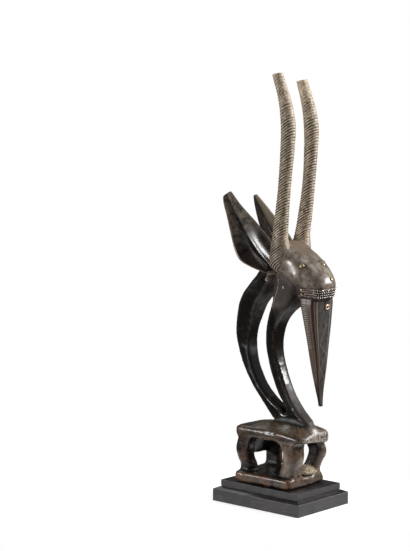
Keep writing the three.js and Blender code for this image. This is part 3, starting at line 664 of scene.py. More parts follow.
def ear(side, lower, sideways, fold_at, blunt):
    """One ear: a long leaf folded along its length, hollow side forward and out."""
    root = np.array([0, side * 46.5 * PER_MILLE, up(0.555) - lower * 0.4])
    axis = np.array([-0.645, side * 0.035, 0.763]) * EAR_LENGTH - np.array([0, 0, lower * 0.6])
    lean = axis / np.linalg.norm(axis)
    flat = math.sqrt(1 - sideways**2)
    across = np.array([lean[2] * flat, -side * sideways, -lean[0] * flat])
    across /= np.linalg.norm(across)
    away = np.cross(lean, across) * side
    away /= np.linalg.norm(away)
    rings, lips, tips = [], [], []
    u = np.linspace(0, 1, 20)
    for t in np.linspace(-0.12, 1, 70):
        rear, front, thick = along(EAR, t)
        fold, wall = EAR_FOLD * thick, EAR_WALL * max(thick, 0.45)
        wider = 0.04 * blunt * max(0, (t - 0.8) / 0.2)
        rear, front = rear - wider, front + wider
        valley = rear + (front - rear) * fold_at
        inner = rear + (front - rear) * u
        outer = (front - EAR_LIP) - (front - rear - 2 * EAR_LIP) * u
        dip, back = [np.where(row < valley, (row - rear) / (valley - rear), (front - row) / (front - valley))
                     for row in (inner, outer)]
        hollow = -fold * (0.12 * dip + 0.88 * np.clip(dip, 0, 1) ** 2.2)
        shell = -wall * 0.7 - (fold + wall * 0.3) * np.clip(back, 0, 1) ** 1.25
        across_by = np.concatenate([inner, outer]) * EAR_WIDTH
        away_by = np.concatenate([hollow, shell])
        rings.append(root + axis * t + across_by[:, None] * across + away_by[:, None] * away)
        rim = np.clip((front - inner) / 0.07, 0, 1) * np.clip((inner - rear) / 0.05, 0, 1)
        if side < 0:
            lips.append(np.concatenate([1 - rim, np.full_like(outer, 0.2)]))
            tips.append(np.full_like(across_by, fade(t, 0.3, 0.24)))
        else:
            # On the far ear, a pale worn strip down the front of its outer side, painted paler still where it
            # faces the key lamp: in part a painted highlight.
            strip = np.clip((outer - valley) / (front - valley) * 2.5 - 0.3, 0, 1) * fade(t, 0.1, 0.2)
            lips.append(np.concatenate([1 - rim, strip]))
            tips.append(np.concatenate([np.zeros_like(inner), strip]))
    end, lip, tip = rings[-1], lips[-1], tips[-1]
    for reach, share in ((0.007, 0.86), (0.013, 0.62), (0.016, 0.3)):
        rings.append(end.mean(0) + (end - end.mean(0)) * share + axis * reach)
        lips.append(lip)
        tips.append(tip)
    if side > 0:
        rings, lips, tips = [[row[::-1] for row in rows] for rows in (rings, lips, tips)]
    pale, tip = [np.append(np.concatenate(rows), (0, 1)) for rows in (lips, tips)]
    return mark_made(new_mesh("ear", *skin(rings)), cut=pale, ear=1, tip=tip)


MUZZLE_SIDE = [-0.93, -0.86, -0.76, -0.65, -0.54, -0.43, -0.32, -0.21, -0.12, -0.06, 0, 0.06, 0.16, 0.27,
               0.38, 0.46, 0.52, 0.58, 0.68, 0.78, 0.88, 0.95]
MUZZLE_LINES = (0, 0.52)
FRONT_LINE = 0.7
RUNG_PITCH = 0.0038
DOT_PITCH = 0.0042
LINE_DEPTH = 0.0005
ZIGZAG = [(9, 334), (-8.5, 300), (8.7, 281), (-6, 256), (3.5, 240)]
SLIT_TOP = 0.219
SLIT_X = 0.0905
SLIT_WIDTH = 0.0022


def to_line(y, z, path):
    """Distance of points on the muzzle's front to a path in mm."""
    nearest = np.full(len(y), 1.0)
    for (y0, z0), (y1, z1) in zip(path, path[1:]):
        along_y, along_z = (y1 - y0) * MM, (z1 - z0) * MM
        t = np.clip(((y - y0 * MM) * along_y + (z - z0 * MM) * along_z) / (along_y**2 + along_z**2), 0, 1)
        nearest = np.minimum(nearest, np.hypot(y - y0 * MM - t * along_y, z - z0 * MM - t * along_z))
    return nearest


def muzzle():
    """Hanging muzzle: its sides ruled and hatched, a zigzag down its front, its end split as a mouth."""
    front_columns = np.concatenate([[-0.9, -0.84], np.linspace(-FRONT_LINE, FRONT_LINE, 19), [0.84, 0.9]])
    side_columns = np.array(MUZZLE_SIDE)
    rings, cuts, rules = [], [], []
    for s in np.linspace(MUZZLE[0][0], MUZZLE[-1][0], 330):
        back, front, half, power = along(MUZZLE, s)
        corner = 0.5 ** (1 / power)
        bulge_side = (1 - np.abs(side_columns * corner) ** power) ** (1 / power)
        bulge_front = (1 - np.abs(front_columns * corner) ** power) ** (1 / power)
        x = np.concatenate([side_columns * corner, [corner], bulge_front, [corner],
                            side_columns[::-1] * corner, [-corner], -np.ones(3), [-corner]])
        y = np.concatenate([-bulge_side, [-corner], front_columns * corner, [corner],
                            bulge_side[::-1], [corner], np.array([0.5, 0, -0.5]), [-corner]])
        z = up(s)
        face = np.concatenate([side_columns, [1], front_columns + 3, [1], side_columns[::-1], [9] * 5])
        ruled = ((face < 2.34) | (face > 3.85) & (face < 4.5)) * fade(z, 0.215, 0.02, low=0.35)
        rung = (0.5 + 0.5 * math.cos(2 * math.pi * z / RUNG_PITCH)) ** 1.5
        dots = 0.35 + 0.65 * (0.5 + 0.5 * math.cos(2 * math.pi * z / DOT_PITCH))
        lined = np.isin(face, MUZZLE_LINES) * 1.0
        lined += (face > -0.9) * (face < -0.07) * rung * (0.75 if 0.29 < z < 0.365 else 0.35)
        lined += (face > 0.07) * (face < 0.45) * rung * 0.3
        lined += (face == 1) * dots + np.isin(face, (3 - FRONT_LINE, 3 + FRONT_LINE)) * 0.8
        y_real = y * half * PER_MILLE
        on_front = (face > 2) & (face < 4)
        lined[on_front] += np.clip(1.3 - to_line(y_real[on_front], z, ZIGZAG) / (0.9 * MM), 0, 1) * 0.6
        deep = LINE_DEPTH * min(1, half * PER_MILLE / 0.006) * np.clip(lined, 0, 1)
        middle = (back + front) / 2
        x_real = (middle + (front - back) / 2 * x) * PER_MILLE
        x_real -= np.where(on_front, deep, 0)
        y_real -= np.sign(y_real) * np.where(on_front, 0, deep)
        rings.append(stacked(x_real, y_real, z))
        cuts.append(np.clip(lined, 0, 1))
        rules.append(ruled)
    cut, ruled = [np.append(np.concatenate(rows), (0, 0)) for rows in (cuts, rules)]
    shape = mark_made(new_mesh("muzzle", *skin(rings)), cut=cut, ruled=ruled)
    low = up(MUZZLE[0][0]) - 0.004
    wedge = [(SLIT_X + dx, y, z) for dx, z in ((0, SLIT_TOP), (-SLIT_WIDTH / 2, low), (SLIT_WIDTH / 2, low))
             for y in (-0.03, 0.03)]
    mouth = new_mesh("mouth", wedge, [(0, 1, 3, 2), (0, 4, 5, 1), (2, 3, 5, 4), (0, 2, 4), (1, 5, 3)])
    return unite(shape, mouth, operation="DIFFERENCE")


unite(figure, *scrolls, ear(-1, 0, 0.5, 0.5, 1), ear(1, FAR_EAR_LOWER, 0.08, 0.68, -0.5), muzzle(),
      horn(-1, 0), horn(1, FAR_HORN_SHORTER))
figure.data.polygons.foreach_set("use_smooth", [True] * len(figure.data.polygons))

# Points that the joins and cuts made take their marks from the points next to them.
pairs, count = neighbours(figure.data)
marks = np.stack([read_mark(figure.data, label) for label in MADE], 1)
made = read_mark(figure.data, "made")[:, None]
for _ in range(3):
    known = summed(made, pairs)
    filled = summed(marks * made, pairs) / np.maximum(known, 1)
    marks = np.where(made > 0.5, marks, filled)
    made = np.where((made > 0.5) | (known > 0), 1.0, 0.0)
marks = dict(zip(MADE, marks.T))
mark(figure, **marks)

# Where each finish and the painted shade lie: by place, by how the surface faces, and by its ridges and
# hollows.
at, out = read_points(figure.data), read_points(figure.data, "normal")
x, y, z = at.T
frontward, sideward, upward = out[:, 0], np.abs(out[:, 1]), out[:, 2]
height = (z - FLOOR) / FIGURE
bending = bend(at, out, pairs, count, 8) / (0.45 * MM)
bending = relax(bending[:, None], pairs, count, 2)[:, 0]
head = fade(z + 0.35 * (x - 0.045), HEAD_FROM, 0.024, 0.35 * cloud(at, 0.012, 41)) * (x > -0.02)
eye_x, eye_z = x - EYE[0], z - EYE[1]
from_eye = np.hypot(eye_x * 0.8 + eye_z * 0.6, (eye_z * 0.8 - eye_x * 0.6) * 2.0)
stain = np.clip(1.4 - np.abs(x - STAIN_X + 0.003 * cloud(at, 0.01, 51)) / 0.0035, 0, 1)
stain *= fade(z, STAIN_TOP, -0.006, high=0.6) * (sideward > 0.3)
crown = head * fade(z, CROWN_FROM, 0.02, 0.6 * cloud(at, 0.012, 53), high=0.95) * (1 - marks["horn"])
dark_horn = marks["horn"] * fade(z, DARK_HORN_TOP, -0.05, high=0.55)
in_front = fade(frontward, 0.15, 0.3)
neck = (height > 0.172) * (x < 0.066) * (z < NECK_TOP)
on_muzzle = fade(frontward, 0.6, 0.2) * (x > 0.066) * (z < 0.381) * (marks["ruled"] < 0.5)
# Painted shade: the rear limb's faces towards the front limb, low on the neck, are painted near-black and
# matt.
dull = fade(frontward, 0.02, 0.25) * fade(z, MATT_AND_SHADE_TOP, -0.03, 0.4 * cloud(at, 0.014, 55)) * neck * (x < -0.02)
aged = np.maximum(in_front * neck * fade(z, AGED_FROM, 0.025, 0.5 * cloud(at, 0.01, 45)), on_muzzle)
scuffed = in_front * fade(z, SCUFFED_TOP, -0.034, 0.5 * cloud(at, 0.009, 47)) * 0.9
scuffed *= (x > 0.018) * (height > 0.15) * (height < 0.3)
dusty = fade(frontward, 0.55, 0.3) * (x > 0.03) * (height < 0.17) * (z > BODY_UNDER - 0.004)
top = fade(upward, 0.55, 0.38) * (z > BODY_UNDER) * fade(x, -0.06, 0.05, low=0.2)
near_leg = (x > 0.03) * (y < -0.008) * (z < BODY_UNDER + 0.003) * (z > SLAB_TOP + 0.001)
slab_sides = (z < SLAB_TOP + 0.001) * 0.35 + (z > BODY_UNDER - 0.001) * (height < 0.15) * 0.2
handled = np.maximum.reduce([
    near_leg * np.clip(0.75 + 0.5 * cloud(at, 0.016, 49), 0, 0.95),
    0.7 * (z < BODY_UNDER) * (x > 0.03) * fade(frontward, 0.4, 0.3),
    slab_sides * (sideward > 0.6)])
finishes_and_shade = {
    "worn": np.clip(-bending, 0, 1), "hollow": np.clip(bending, 0, 1), "head": head,
    "eye": np.maximum(np.clip(1.5 - from_eye / 0.008, 0, 1), stain), "crown": np.maximum(crown, dark_horn),
    "front": in_front * neck, "dull": dull, "aged": aged, "scuffed": scuffed, "dusty": dusty, "top": top,
    "handled": handled, "stool": fade(height, 0.168, -0.01)}
mark(figure, **finishes_and_shade)
figure.data.attributes.remove(figure.data.attributes["made"])

# Dense dark wood, knifed, stained and oiled over many years: a near-black gloss on the neck and legs,
# a hand-polished warm grey head, dry pale horns with dark grooves, and rubbed red-brown edges below.
# Patches of 33 mm, mottling of 10 mm, specks of 4 mm, grain 2.4 by 17 mm and scratches 1.1 by 22 mm:
# the last three are drawn coarser than real pores and scratches, so that they show.
wood, tree = new_material("oiled_dark_tropical_wood")
place = add(tree, "ShaderNodeTexCoord")
source = {label: (add(tree, "ShaderNodeAttribute", attribute_name=label), "Fac")
          for label in (*MADE, *finishes_and_shade)}
for label, scale, detail, roughness in [
        ("patches", (30.0, 30.0, 30.0), 4.0, 0.5), ("mottle", (95.0, 95.0, 95.0), 6.0, 0.6),
        ("specks", (260.0, 260.0, 260.0), 5.0, 0.5), ("grain", (420.0, 420.0, 60.0), 6.0, 0.5),
        ("scratches", (900.0, 900.0, 45.0), 2.0, 0.5)]:
    space = add(tree, "ShaderNodeMapping", {"Vector": (place, "Object"), "Scale": scale})
    source[label] = (add(tree, "ShaderNodeTexNoise", {
        "Vector": (space, "Vector"), "Scale": 1.0, "Detail": detail, "Roughness": roughness}), "Fac")
tone_of = {}
for label, noise, low, dark, high, light in [
        ("neck", "patches", 0.42, "#060505", 0.7, "#110d0b"),
        ("stool", "patches", 0.4, "#0d0b0a", 0.66, "#231b17"),
        ("slab_top", "specks", 0.35, "#352c21", 0.65, "#776750"),
        ("dust", "scratches", 0.36, "#4b413a", 0.64, "#c2b6a8"),
        ("handled", "mottle", 0.34, "#2b221c", 0.68, "#978270"),
        ("head", "mottle", 0.3, "#554a41", 0.7, "#9e9285"),
        ("ear", "mottle", 0.34, "#0e0b0a", 0.68, "#3a2f29"),
        ("scraped", "scratches", 0.35, "#17120f", 0.65, "#43372e"),
        ("scuffed", "scratches", 0.36, "#120d0c", 0.64, "#4a3d36"),
        ("ridge", "specks", 0.32, "#8f7963", 0.68, "#e6d4ba"),
        ("crown", "scratches", 0.32, "#43362c", 0.68, "#8f7f6e"),
        ("aged", "mottle", 0.36, "#181513", 0.66, "#4a433d"),
        ("tip", "mottle", 0.38, "#1d1714", 0.66, "#766859"),
        ("ruled", "grain", 0.35, "#281b15", 0.66, "#4f382b"),
        ("bare", "specks", 0.3, "#5b4a40", 0.6, "#b39a88")]:
    ramp = add(tree, "ShaderNodeValToRGB", {"Fac": source[noise]}, stops=[(low, dark), (high, light)])
    tone_of[label] = (ramp, "Color")
A_COLOUR, B_COLOUR, MIXED_COLOUR = 6, 7, 2
A_VALUE, B_VALUE, MIXED_VALUE = 2, 3, 0
tone = tone_of["neck"]
gloss = (add(tree, "ShaderNodeMapRange", {
    "Value": source["grain"], "From Min": 0.3, "From Max": 0.7, "To Min": 0.13, "To Max": 0.23}), "Result")
head_gloss = (add(tree, "ShaderNodeMapRange", {
    "Value": source["mottle"], "From Min": 0.35, "From Max": 0.65, "To Min": 0.2, "To Max": 0.34}), "Result")

# Each layer covers those before it by the product of its marks and shares, with its colour and gloss.
# A mark or noise in brackets is stretched, from its first number to its second, to its share.
for cover, colour, roughness in [
        (["front"], "neck", 0.25),
        (["aged"], "aged", 0.55),
        (["aged", "cut", 0.8], "#968f84", 0.5),
        (["worn", "worn", ("specks", 0.35, 0.6, 0.5)], "#4f4339", 0.25),
        # Near-black and matt where the rear limb faces the front limb: the matt is the wood's, the near-black
        # is painted shade between the limbs.
        (["dull"], "#040303", 0.95),
        (["stool"], "stool", 0.24),
        (["stool", "top", 0.9], "slab_top", 0.4),
        (["handled"], "handled", 0.22),
        (["stool", "worn", ("specks", 0.35, 0.6, 0.7)], "#473a2f", 0.42),
        (["stool", "worn", ("patches", 0.5, 0.62, 0.75)], "#65432f", 0.4),
        # Painted shade: near-black in the surface's hollows, creases and joins, together with the dirt
        # gathered there.
        (["hollow", 0.85], "#0c0908", 0.7),
        (["dusty", ("specks", 0.3, 0.55, 1.0)], "dust", 0.4),
        (["ribbon"], "scraped", 0.85),
        (["scuffed"], "scuffed", 0.6),
        (["head"], "head", head_gloss),
        (["crown"], "crown", 0.38),
        (["head", "eye"], "#4f4034", 0.33),
        (["ear"], "ear", 0.18),
        (["tip"], "tip", 0.7),
        (["ear", "cut", 0.8], "#857868", 0.4),
        (["horn"], "ridge", 0.45),
        (["horn", "crown"], "#4a3f35", 0.4),
        (["horn", ("cut", 0.12, 0.5, 1.0)], "#17110d", 0.6),
        (["ruled"], "ruled", 0.38),
        (["ruled", "cut", 0.75], "#a3968a", 0.5),
        (["bare"], "bare", 0.4)]:
    factor = None
    for part in cover:
        if isinstance(part, str):
            part = source[part]
        elif isinstance(part, tuple):
            label, low, high, share = part
            part = (add(tree, "ShaderNodeMapRange", {
                "Value": source[label], "From Min": low, "From Max": high, "To Max": share}), "Result")
        if factor:
            part = (add(tree, "ShaderNodeMath", {0: factor, 1: part}, operation="MULTIPLY"), "Value")
        factor = part
    colour = linear(colour) if colour.startswith("#") else tone_of[colour]
    tone = (add(tree, "ShaderNodeMix", {0: factor, A_COLOUR: tone, B_COLOUR: colour}, data_type="RGBA"),
            MIXED_COLOUR)
    gloss = (add(tree, "ShaderNodeMix", {0: factor, A_VALUE: gloss, B_VALUE: roughness}), MIXED_VALUE)
pores = add(tree, "ShaderNodeBump", {"Height": source["grain"], "Strength": 0.08, "Distance": 0.0005})
relief = add(tree, "ShaderNodeBump", {
    "Height": source["scratches"], "Normal": (pores, "Normal"), "Strength": 0.1, "Distance": 0.0005})
wood_face = add(tree, "ShaderNodeBsdfPrincipled", {
    "Base Color": tone, "Roughness": gloss, "Normal": (relief, "Normal"), "IOR": 1.5,
    "Specular IOR Level": 0.4})
add(tree, "ShaderNodeOutputMaterial", {"Surface": (wood_face, "BSDF")})
figure.data.materials.clear()
figure.data.materials.append(wood)
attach(figure, "root")
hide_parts("carving")

# Muzzle band: a thin strip of aluminium hammered into rows of beads, bent round the front and sides of
# the head and tacked at its ends. Its colour is painted brighter in front than along the sides: a painted
# highlight.
BAND_END = 0.0625
BAND_GAP = 0.0004
BAND_SHEET = 0.0006
BAND_SWELL = 0.0004
BAND_ROWS = 4
BEAD_SPACING = 0.0036
BEAD_RADIUS = 0.0012


def geometry_tree(name, sizes):
    """A new geometry tree with a named input for each size, and the node that gives them."""
    tree = bpy.data.node_groups.new(name, "GeometryNodeTree")
    tree.interface.new_socket("Geometry", in_out="INPUT", socket_type="NodeSocketGeometry")
    tree.interface.new_socket("Geometry", in_out="OUTPUT", socket_type="NodeSocketGeometry")
    for label, kind in sizes.items():
        tree.interface.new_socket(label, in_out="INPUT", socket_type="NodeSocket" + kind)
    return tree, tree.nodes.new("NodeGroupInput")


def grown(thing, tree, values):
    """The object's mesh as the tree makes it, with the tree's inputs set by their identifiers."""
    modifier = thing.modifiers.new(tree.name, "NODES")
    modifier.node_group = tree
    for socket in tree.interface.items_tree:
        if socket.in_out == "INPUT" and socket.name in values:
            modifier[socket.identifier] = values[socket.name]
    return baked(thing)


def hugging(s, away):
    """Path round the head at one level, from the near end by the front to the far end."""
    share = (s - BAND_LOW) / (BAND_HEIGHT / FIGURE)
    low, high = along(SKULL, BAND_LOW), along(SKULL, BAND_LOW + BAND_HEIGHT / FIGURE)
    back, front, half = (low[:3] + (high[:3] - low[:3]) * share) * PER_MILLE
    ring = section(up(s), back - away, front + away, half + away, low[3], 400)
    ring = np.roll(ring, 200, 0)
    return ring[ring[:, 0] > BAND_END][::2]


band_rows = np.linspace(0.02, 0.98, 8 * BAND_ROWS + 1)
band_shares = BAND_LOW + band_rows * BAND_HEIGHT / FIGURE
swell = BAND_SWELL * np.abs(np.sin(np.pi * band_rows * BAND_ROWS)) ** 0.7
paths = [hugging(s, BAND_GAP + BAND_SHEET + extra) for s, extra in zip(band_shares, swell)]
width = min(len(path) for path in paths)
paths = [path[:width] for path in paths]
faces = [(r * width + k, r * width + k + 1, (r + 1) * width + k + 1, (r + 1) * width + k)
         for r in range(len(paths) - 1) for k in range(width - 1)]
band = new_mesh("band_strip", np.concatenate(paths), faces)
shell = band.modifiers.new("sheet", "SOLIDIFY")
shell.thickness = BAND_SHEET
shell.offset = -1
baked(band)
lines = [hugging(BAND_LOW + (r + 0.5) / BAND_ROWS * BAND_HEIGHT / FIGURE, BAND_GAP + BAND_SHEET * 0.7)
         for r in range(BAND_ROWS)]
edges, start = [], 0
for path in lines:
    edges += [(start + k, start + k + 1) for k in range(len(path) - 1)]
    start += len(path)
bead_lines = new_mesh("bead_lines", np.concatenate(lines), [], edges)


def aluminium(name, dark, light):
    """Aluminium between two tones in stains of 5 mm, painted brighter in front than along the sides as a
    highlight.
    """
    material, tree = new_material(name)
    place = add(tree, "ShaderNodeTexCoord")
    frontward = add(tree, "ShaderNodeSeparateXYZ", {"Vector": (place, "Object")})
    # Painted highlight: the colour grows lighter towards the front of the band.
    bright = add(tree, "ShaderNodeMapRange", {"Value": (frontward, "X"), "From Min": 0.09, "From Max": 0.107,
                                              "To Max": 0.8})
    stains = add(tree, "ShaderNodeTexNoise", {"Vector": (place, "Object"), "Scale": 210.0, "Detail": 4.0})
    front_glint_and_stains = add(tree, "ShaderNodeMath", {0: (bright, "Result"), 1: (stains, "Fac")}, operation="ADD")
    shine = add(tree, "ShaderNodeValToRGB", {"Fac": (front_glint_and_stains, "Value")}, stops=[(0.42, dark), (1.0, light)])
    matt = add(tree, "ShaderNodeMapRange", {"Value": (stains, "Fac"), "To Min": 0.25, "To Max": 0.55})
    face = add(tree, "ShaderNodeBsdfPrincipled", {
        "Base Color": (shine, "Color"), "Metallic": 0.9, "Roughness": (matt, "Result")})
    add(tree, "ShaderNodeOutputMaterial", {"Surface": (face, "BSDF")})
    return material


# Purple-brown tarnish on the sheet between the beads, painted lighter in front as a highlight.
tarnished = aluminium("tarnished_aluminium_sheet", "#1d1516", "#675a55")
# Aluminium rubbed bright on the tops of the beads, and painted brighter in front as a highlight.
rubbed = aluminium("rubbed_aluminium_beads", "#5d4f4c", "#f2ebe2")

tree, entry = geometry_tree("beaded_strip", {
    "Lines": "Object", "Spacing": "Float", "Bead radius": "Float", "Sheet": "Material", "Beads": "Material"})
info = add(tree, "GeometryNodeObjectInfo", {"Object": (entry, "Lines")})
curves = add(tree, "GeometryNodeMeshToCurve", {"Mesh": (info, "Geometry")})
spaced = add(tree, "GeometryNodeResampleCurve", {"Curve": (curves, "Curve"), "Length": (entry, "Spacing")},
             mode="LENGTH")
bead = add(tree, "GeometryNodeMeshUVSphere", {"Segments": 8, "Rings": 5, "Radius": (entry, "Bead radius")})
beads = add(tree, "GeometryNodeInstanceOnPoints", {"Points": (spaced, "Curve"), "Instance": (bead, "Mesh")})
real = add(tree, "GeometryNodeRealizeInstances", {"Geometry": (beads, "Instances")})
bright_coat = add(tree, "GeometryNodeSetMaterial", {
    "Geometry": (real, "Geometry"), "Material": (entry, "Beads")})
dark_coat = add(tree, "GeometryNodeSetMaterial", {
    "Geometry": (entry, "Geometry"), "Material": (entry, "Sheet")})
both = add(tree, "GeometryNodeJoinGeometry", {"Geometry": (dark_coat, "Geometry")})
tree.links.new(bright_coat.outputs["Geometry"], both.inputs["Geometry"])
smooth = add(tree, "GeometryNodeSetShadeSmooth", {0: (both, "Geometry")})
add(tree, "NodeGroupOutput", {"Geometry": (smooth, 0)})
grown(band, tree, {"Lines": bead_lines, "Spacing": BEAD_SPACING, "Bead radius": BEAD_RADIUS,
                   "Sheet": tarnished, "Beads": rubbed})
bpy.data.objects.remove(bead_lines)
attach(band, "root")
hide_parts("muzzle_band")

# Tacks: small domed brass heads driven into the wood for the eyes, the jaw and the brow, through the
# band's ends, and down the back of the neck. They are rubbed bright on top and dark round the rim.
TACK_RADIUS = {"eye": 0.0044, "brow": 0.004, "jaw": 0.003, "band": 0.003, "mane": 0.0021}
TACK_RISE = 0.55

tack_names = [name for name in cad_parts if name.startswith("tack_")]
skin_tree = surface(figure, band)
spots, ways, radii = [], [], []
for name in tack_names:
    low, high = [Vector(corner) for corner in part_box(name)]
    spot, way, _, _ = skin_tree.find_nearest((low + high) / 2)
    spots.append(spot)
    ways.append(way)
    radii.append(TACK_RADIUS[name.split("_")[1]])
tacks = new_mesh("brass_tacks", spots, [])
facing = tacks.data.attributes.new("facing", "FLOAT_VECTOR", "POINT")
facing.data.foreach_set("vector", [c for way in ways for c in way])
mark(tacks, head_size=radii)
a = around(16)
dome = [(0.9, -0.25), (1, 0), (0.985, 0.1), (0.86, 0.33), (0.6, 0.47), (0.3, TACK_RISE)]
tack_head = new_mesh("tack_head", *skin([
    stacked(share * np.cos(a), share * np.sin(a), z) for share, z in dome]))

# Cast brass, hand-worn: yellow metal with darker brown tarnish in patches of 2.4 mm.
brass, tree = new_material("worn_brass")
place = add(tree, "ShaderNodeTexCoord")
stains = add(tree, "ShaderNodeTexNoise", {"Vector": (place, "Object"), "Scale": 420.0, "Detail": 3.0})
shine = add(tree, "ShaderNodeValToRGB", {"Fac": (stains, "Fac")},
            stops=[(0.35, "#5d4d35"), (0.65, "#dccfaa")])
matt = add(tree, "ShaderNodeMapRange", {"Value": (stains, "Fac"), "To Min": 0.6, "To Max": 0.42})
brass_face = add(tree, "ShaderNodeBsdfPrincipled", {
    "Base Color": (shine, "Color"), "Metallic": 0.75, "Roughness": (matt, "Result")})
add(tree, "ShaderNodeOutputMaterial", {"Surface": (brass_face, "BSDF")})

tree, entry = geometry_tree("driven_tacks", {"Head": "Object", "Finish": "Material"})
info = add(tree, "GeometryNodeObjectInfo", {"Object": (entry, "Head")})
way = add(tree, "GeometryNodeInputNamedAttribute", {"Name": "facing"}, data_type="FLOAT_VECTOR")
turn = add(tree, "FunctionNodeAlignRotationToVector", {"Vector": (way, 0)}, axis="Z")
size = add(tree, "GeometryNodeInputNamedAttribute", {"Name": "head_size"}, data_type="FLOAT")
points = add(tree, "GeometryNodeMeshToPoints", {"Mesh": (entry, "Geometry")})
heads = add(tree, "GeometryNodeInstanceOnPoints", {
    "Points": (points, "Points"), "Instance": (info, "Geometry"), "Rotation": (turn, "Rotation"),
    "Scale": (size, 0)})
real = add(tree, "GeometryNodeRealizeInstances", {"Geometry": (heads, "Instances")})
coat = add(tree, "GeometryNodeSetMaterial", {"Geometry": (real, "Geometry"), "Material": (entry, "Finish")})
add(tree, "NodeGroupOutput", {"Geometry": (coat, "Geometry")})
grown(tacks, tree, {"Head": tack_head, "Finish": brass})
bpy.data.objects.remove(tack_head)
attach(tacks, "root")
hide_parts(*tack_names)

# Eyelet: a small pinkish copper ring, like the collar of a rivet, pressed onto the front of the muzzle.
# It is smooth and a third wider across than high, with the dark wood showing through its hole.
EYELET_RADIUS = 0.0052
EYELET_RISE = 0.0018
EYELET_WIDE = 0.0019
EYELET_OVAL = 1.32

low, high = [Vector(corner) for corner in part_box("eyelet")]
spot, way, _, _ = surface(figure).find_nearest((low + high) / 2)
b = around(14)
reach = EYELET_RADIUS - EYELET_WIDE + EYELET_WIDE * np.cos(b)
points = np.concatenate([
    stacked(reach * np.cos(a), reach * np.sin(a), EYELET_RISE * np.sin(b) + 0.0008) for a in around(40)])
faces = [(14 * i + k, 14 * ((i + 1) % 40) + k, 14 * ((i + 1) % 40) + (k + 1) % 14, 14 * i + (k + 1) % 14)
         for i in range(40) for k in range(14)]
eyelet = new_mesh("copper_eyelet", points, faces)
turn = way.to_track_quat("Z", "Y").to_matrix().to_4x4()
eyelet.data.transform(Matrix.Translation(spot) @ Matrix.Diagonal((1, EYELET_OVAL, 1, 1)) @ turn)

# Copper gone dull and pinkish, paler where it is rubbed, in patches of 3 mm.
copper, tree = new_material("dull_copper")
place = add(tree, "ShaderNodeTexCoord")
stains = add(tree, "ShaderNodeTexNoise", {"Vector": (place, "Object"), "Scale": 350.0, "Detail": 3.0})
shine = add(tree, "ShaderNodeValToRGB", {"Fac": (stains, "Fac")}, stops=[(0.3, "#a07a66"), (0.7, "#e2cbb9")])
copper_face = add(tree, "ShaderNodeBsdfPrincipled", {
    "Base Color": (shine, "Color"), "Metallic": 0.75, "Roughness": 0.42})
add(tree, "ShaderNodeOutputMaterial", {"Surface": (copper_face, "BSDF")})
eyelet.data.materials.append(copper)
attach(eyelet, "root")
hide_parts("eyelet")

# Fibre wad: a handful of dry plant fibre pressed on the lower slab against the far front leg, a dense
# felted heap with loose curled strands lying over it.
WAD_LENGTH = 0.041
WAD_WIDTH = 0.028
WAD_HEIGHT = 0.016
WAD_TURN = 1.05
WAD_PLACE = (LEG_SPAN_X * 0.395, LEG_SPAN_Y * 0.12, SLAB_TOP)
STRAND_LENGTH = 0.0075
STRAND_RADIUS = 0.00028
STRAND_CURL = 1.5
STRAND_TILT = 0.22
STRANDS_PER_AREA = 280000.0

shape = [(0, 0.8), (0.1, 0.93), (0.3, 0.92), (0.55, 0.78), (0.78, 0.56), (0.92, 0.28), (0.96, 0.08)]
a = around(36)
rings = []
for level in np.linspace(0, 0.96, 16):
    size = along(shape, level)[0]
    rings.append(stacked(WAD_LENGTH / 2 * size * np.cos(a), WAD_WIDTH / 2 * size * np.sin(a),
                         0.0006 + level * WAD_HEIGHT * 0.94))
points, faces = skin(rings)
lump = 1 + 0.09 * cloud(points, 0.008, 21) + 0.04 * cloud(points, 0.003, 22)
points[:, :2] *= lump[:, None]
wad = new_mesh("fibre_wad_felt", points, faces)
wad.data.transform(Matrix.Translation(WAD_PLACE) @ Matrix.Rotation(WAD_TURN, 4, "Z"))
stand_in = bpy.data.objects.new("stand_in", figure.data.copy())
scene.collection.objects.link(stand_in)
unite(wad, stand_in, operation="DIFFERENCE")
wad.data.materials.clear()

# Dry raffia-like fibre: straw and olive strands over a darker, dusty felt, in clumps of 3 mm.
fibre, tree = new_material("dry_plant_fibre")
place = add(tree, "ShaderNodeTexCoord")
clumps = add(tree, "ShaderNodeTexNoise", {"Vector": (place, "Object"), "Scale": 330.0, "Detail": 5.0})
straw = add(tree, "ShaderNodeValToRGB", {"Fac": (clumps, "Fac")},
            stops=[(0.36, "#a08f73"), (0.64, "#f3e8cf")])
fuzz = add(tree, "ShaderNodeBump", {"Height": (clumps, "Fac"), "Strength": 0.6, "Distance": 0.001})
fibre_face = add(tree, "ShaderNodeBsdfPrincipled", {
    "Base Color": (straw, "Color"), "Roughness": 0.85, "Normal": (fuzz, "Normal"), "Specular IOR Level": 0.3})
add(tree, "ShaderNodeOutputMaterial", {"Surface": (fibre_face, "BSDF")})

tree, entry = geometry_tree("loose_strands", {
    "Strand length": "Float", "Strand radius": "Float", "Strand curl": "Float", "Density": "Float",
    "Seed": "Int", "Finish": "Material"})
scatter = add(tree, "GeometryNodeDistributePointsOnFaces", {
    "Mesh": (entry, "Geometry"), "Density": (entry, "Density"), "Seed": (entry, "Seed")})
arc = add(tree, "GeometryNodeCurveArc", {
    "Resolution": 8, "Radius": (entry, "Strand length"), "Sweep Angle": (entry, "Strand curl")},
    mode="RADIUS")
round_bar = add(tree, "GeometryNodeCurvePrimitiveCircle", {
    "Resolution": 4, "Radius": (entry, "Strand radius")})
strand = add(tree, "GeometryNodeCurveToMesh", {
    "Curve": (arc, "Curve"), "Profile Curve": (round_bar, "Curve"), "Fill Caps": True})
hold = add(tree, "ShaderNodeCombineXYZ", {"X": (entry, "Strand length")})
drop = add(tree, "ShaderNodeVectorMath", {0: (hold, "Vector"), 1: (-1.0, -0.6, 0.0)}, operation="MULTIPLY")
